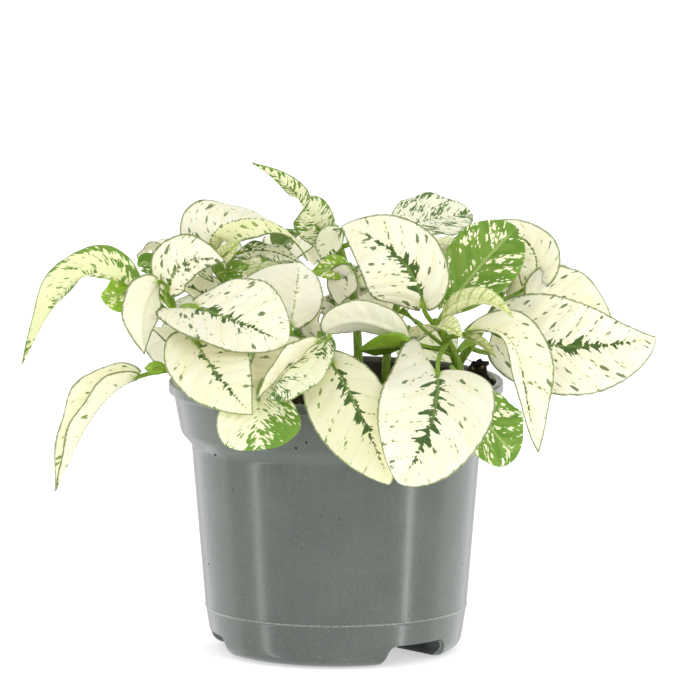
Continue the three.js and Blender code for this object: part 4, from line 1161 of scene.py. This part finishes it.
def blade(one, seed):
    """A leaf's blade, u from base to tip by s from -1 to 1 across it.

    Its midrib is the curve through its points, and its half width is wide (u/peak)^(full peak)
    ((1-u)/(1-peak))^(full (1-peak)). Each half rises from the midrib at its fold, its margin waves by sin,
    and its lobe sweeps back by |s|^1.5 (1-u)^5 and ends HEEL broad. Between the lateral veins, which leave
    the midrib at even steps and bend forward, the face is quilted by a cosine. The midrib is a furrow above
    and a ridge below.
    """
    detail = SMALL if one["small"] else BLADE
    rows, columns = detail["rows"], detail["columns"]
    even = np.linspace(0, 1, rows + 1)
    inside = np.clip(mix(even, 0.5 - 0.5 * np.cos(math.pi * even), 0.45), NEAR, 1 - NEAR)
    midrib = one["midrib"]
    centre = through(midrib, inside)
    ahead = unit(through(midrib, inside + NEAR) - through(midrib, inside - NEAR))
    length = np.linalg.norm(np.diff(centre, axis=0), axis=1).sum()
    u, s = inside[:, None], np.linspace(-1, 1, columns + 1)
    look = mix(*np.broadcast_to(np.array(one["face"], float), (2, 3)), u)
    up = unit(look - np.sum(look * ahead, 1, keepdims=True) * ahead)
    side = np.cross(ahead, up)

    reach, half = np.abs(s), (s > 0).astype(int)

    def halves(value):
        """One number for both halves of the blade, or one a half, at each s."""
        return np.broadcast_to(value, 2)[half]

    wide, lobe, peak, full = (halves(one[key]) for key in ("wide", "lobe", "peak", "full"))
    shape = (u / peak) ** (full * peak) * ((1 - u) / (1 - peak)) ** (full * (1 - peak))
    rise = np.radians(mix(halves(one["fold"]), halves(one["tip_fold"]), u))
    size = np.min(one["wide"]) / BLADE["usual_width"]

    room = np.maximum(shape * wide, mix(*TIP, u)) + HEEL * lobe * wide * (1 - u) ** 9
    width = reach * room
    sweep = lobe * wide * reach**1.5 * (1 - u) ** 5
    run = u * length - sweep - 0.7 * width - 0.012 * width**2
    phase = run / length * BLADE["pairs"]
    width = width * (1 + 0.008 * np.cos(TURN * phase * 1.7 + seed * 9) * smooth(0.6, 1, reach))
    ripple = one["wave"] * np.sin(TURN * (WAVE[0] * u + WAVE[1] * s)) * reach**2 * shape
    pillow = smooth(0, 0.35, reach) * smooth(1, 0.75, reach) * shape
    quilt = size * 0.55 * (0.5 - 0.5 * np.cos(TURN * phase)) ** 0.8 * pillow
    furrow = FURROW["depth"] * size**0.5 * bell(width, FURROW["width"]) * (1 - u) ** 0.5
    lift = np.sin(rise) * width + ripple + quilt - furrow

    across = side[:, None] * (np.sign(s) * np.cos(rise) * width)[..., None]
    upper = centre[:, None] + across + up[:, None] * lift[..., None] - ahead[:, None] * sweep[..., None]
    normal = unit(np.cross(np.gradient(upper, axis=1), np.gradient(upper, axis=0)))
    normal = np.where(np.sum(normal * up[:, None], -1, keepdims=True) < 0, -normal, normal)
    normal = unit(mix(up[:, None], normal, np.minimum(2 * shape, 1)[..., None]))
    ridge = RIDGE["height"] * size**0.5 * bell(width, RIDGE["width"]) * (1 - u) ** 0.7
    thick = mix(BLADE["thick"], BLADE["rim"], reach**5) + ridge
    lower = upper - normal * thick[..., None]

    rings = np.concatenate([upper[:, ::-1], lower], axis=1)
    quads, caps = sheet_quads(rows, columns)
    col = np.tile(np.arange(2 * (columns + 1)), rows)
    flat = np.concatenate([(col == columns) | (col == 2 * columns + 1), np.ones(len(caps), bool)])

    def both(value):
        """Marks that both faces share, in the order of the rings' points."""
        value = value + np.zeros_like(width)
        return np.concatenate([value[:, ::-1], value], axis=1)

    under = np.concatenate([np.zeros_like(width), np.ones_like(width)], axis=1)
    rib, specks, flush = (both(halves(value)) for value in one["habit"])
    marks = {
        "u": both(u), "phase": both(phase), "x": both(np.sign(s) * width), "run": both(run),
        "edge": both((1 - reach) * room), "seed": both(seed), "size": both(size), "under": under,
        "rib": rib, "specks": specks, "flush": flush,
        "shows": mix(1, one["both"], under), "glow": one["glow"] * under, "lean": both(one["lean"]),
    }
    marks = {name: value.ravel() for name, value in marks.items()}
    return rings, np.concatenate([quads, caps]), flat, marks, ahead[0], up[0]


def stalk_path(one, ahead, up):
    """The curve (1-t)^2 a + 2t(1-t) b + t^2 c from the stem to the blade's base, then on under its midrib."""
    foot, base = stem_point(one["stem"], one["height"]), one["midrib"][0]
    bend = base - ahead * 0.45 * np.linalg.norm(base - foot)
    t = np.linspace(0, 1, 16)[:, None]
    curve = (1 - t) ** 2 * foot + 2 * t * (1 - t) * bend + t**2 * base
    on = STALK["sunk"] * np.linspace(0.25, 1, STALK["sunk_rings"])[:, None]
    return np.concatenate([curve, base + ahead * on - up * BLADE["thick"] * 0.8])


def make_shoot(stem, seed):
    """A stem, four-cornered and swollen where stalks leave it, with its stalks and blades."""
    body = Body(f"leafy_{stem}", [FINISH[kind] for kind in LEAFAGE])
    foot, _, _, ends = STEMS[stem]
    leaves = SHOOTS[stem]
    levels = np.linspace(UPRIGHT["low"], UPRIGHT["high"], UPRIGHT["rings"])
    upright = np.column_stack([np.tile(foot, (len(levels), 1)), levels])
    path = np.concatenate([upright, stem_path(stem, np.linspace(0, 1, 60))])
    share = np.linspace(0, 1, len(path))
    swollen = sum(bell(path[:, 2] - one["height"], STEM["swollen"]) for one in leaves)
    sizes = mix(*ends, share) + STEM["swelling"] * swollen / (1 + 0.4 * len(leaves))
    sizes = sizes * np.sqrt(np.clip((1.004 - share) / 0.03, 0.05, 1))
    body.tube(bar_rings(path, sizes, STEM["sides"], STEM["ridge"]), FINISH["stem"])
    for index, one in enumerate(leaves):
        rings, faces, flat, marks, ahead, up = blade(one, seed + index * SEED["leaf"])
        body.add(rings, faces, finish=FINISH[one["kind"]], flat=flat, marks=marks)
        path = stalk_path(one, ahead, up)
        sizes = STALK["radius"] * np.linspace(1, 0.8, len(path))
        sizes[-STALK["sunk_rings"] :] = np.linspace(STALK["neck"], STALK["end"], STALK["sunk_rings"])
        thin = SMALL["stalk"] if one["small"] else 1
        body.tube(bar_rings(path, sizes * thin, STALK["sides"]), FINISH["stem"])
    settle(body.build(LEAF_MARKS), "leaves", f"shoot_{stem}")


# ---------------------------------------------------------------- stage
def soft_box(name, azimuth, reach, height, width, tall, power):
    """A lamp at an azimuth from the front, toward +X, facing the plant. A glaze shows in what is glossy."""
    turn = math.radians(azimuth)
    light = bpy.data.lights.new(name, "AREA")
    light.shape, light.size, light.size_y, light.energy = "RECTANGLE", width, tall, power
    lamp = bpy.data.objects.new(name, light)
    lamp.location = Vector((reach * math.sin(turn), -reach * math.cos(turn), height))
    lamp.rotation_euler = (Vector((0, 0, AIM)) - lamp.location).to_track_quat("-Z", "Y").to_euler()
    lamp.visible_diffuse = lamp.visible_transmission = "glaze" not in name
    bpy.context.scene.collection.objects.link(lamp)


def make_stage():
    """A white floor, a white world, soft boxes, and the camera at the photograph's angle."""
    scene = bpy.context.scene
    scene.view_settings.view_transform = "Standard"
    scene.world = bpy.data.worlds.new("studio")
    air = Graph(scene.world, "BACKGROUND")
    seen, mirrored = (air.node("ShaderNodeLightPath", output=f"Is {ray} Ray") for ray in ("Camera", "Glossy"))
    air.set(color=(1, 1, 1), strength=mix(*WORLD, seen.most(mirrored)))

    floor = bpy.data.meshes.new("floor")
    half, z = FLOOR["half"], FLOOR["z"]
    corners = [(-half, -half, z), (half, -half, z), (half, half, z), (-half, half, z)]
    floor.from_pydata(corners, [], [(0, 1, 2, 3)])
    paper = Finish("floor_paper", roughness=1.0, base_color=FLOOR["colour"], specular_ior_level=0.0,
                   emission_color=(1, 1, 1), emission_strength=FLOOR["glow"])
    floor.materials.append(paper.material)
    plane = bpy.data.objects.new("floor", floor)
    scene.collection.objects.link(plane)
    plane.visible_glossy = plane.visible_shadow = False

    for name, lamp in LAMPS.items():
        soft_box(name, *lamp)

    camera = bpy.data.cameras.new("camera")
    camera.sensor_width = 36.0
    camera.lens = camera.sensor_width * VIEW["distance"] / VIEW["span"]
    camera.clip_start, camera.clip_end = 0.1, 200.0
    eye = bpy.data.objects.new("camera", camera)
    tilt = math.radians(VIEW["elevation"])
    target = np.array(VIEW["target"])
    eye.location = (target + VIEW["distance"] * np.array([0, -math.cos(tilt), math.sin(tilt)])) * MM
    eye.rotation_euler = (math.pi / 2 - tilt, 0, 0)
    scene.collection.objects.link(eye)
    scene.camera = eye


make_stage()
make_pot()
make_channels()
make_soil()
make_crumbs()
for number, stem in enumerate(STEMS):
    make_shoot(stem, SEED["first"] + number * SEED["stem"])
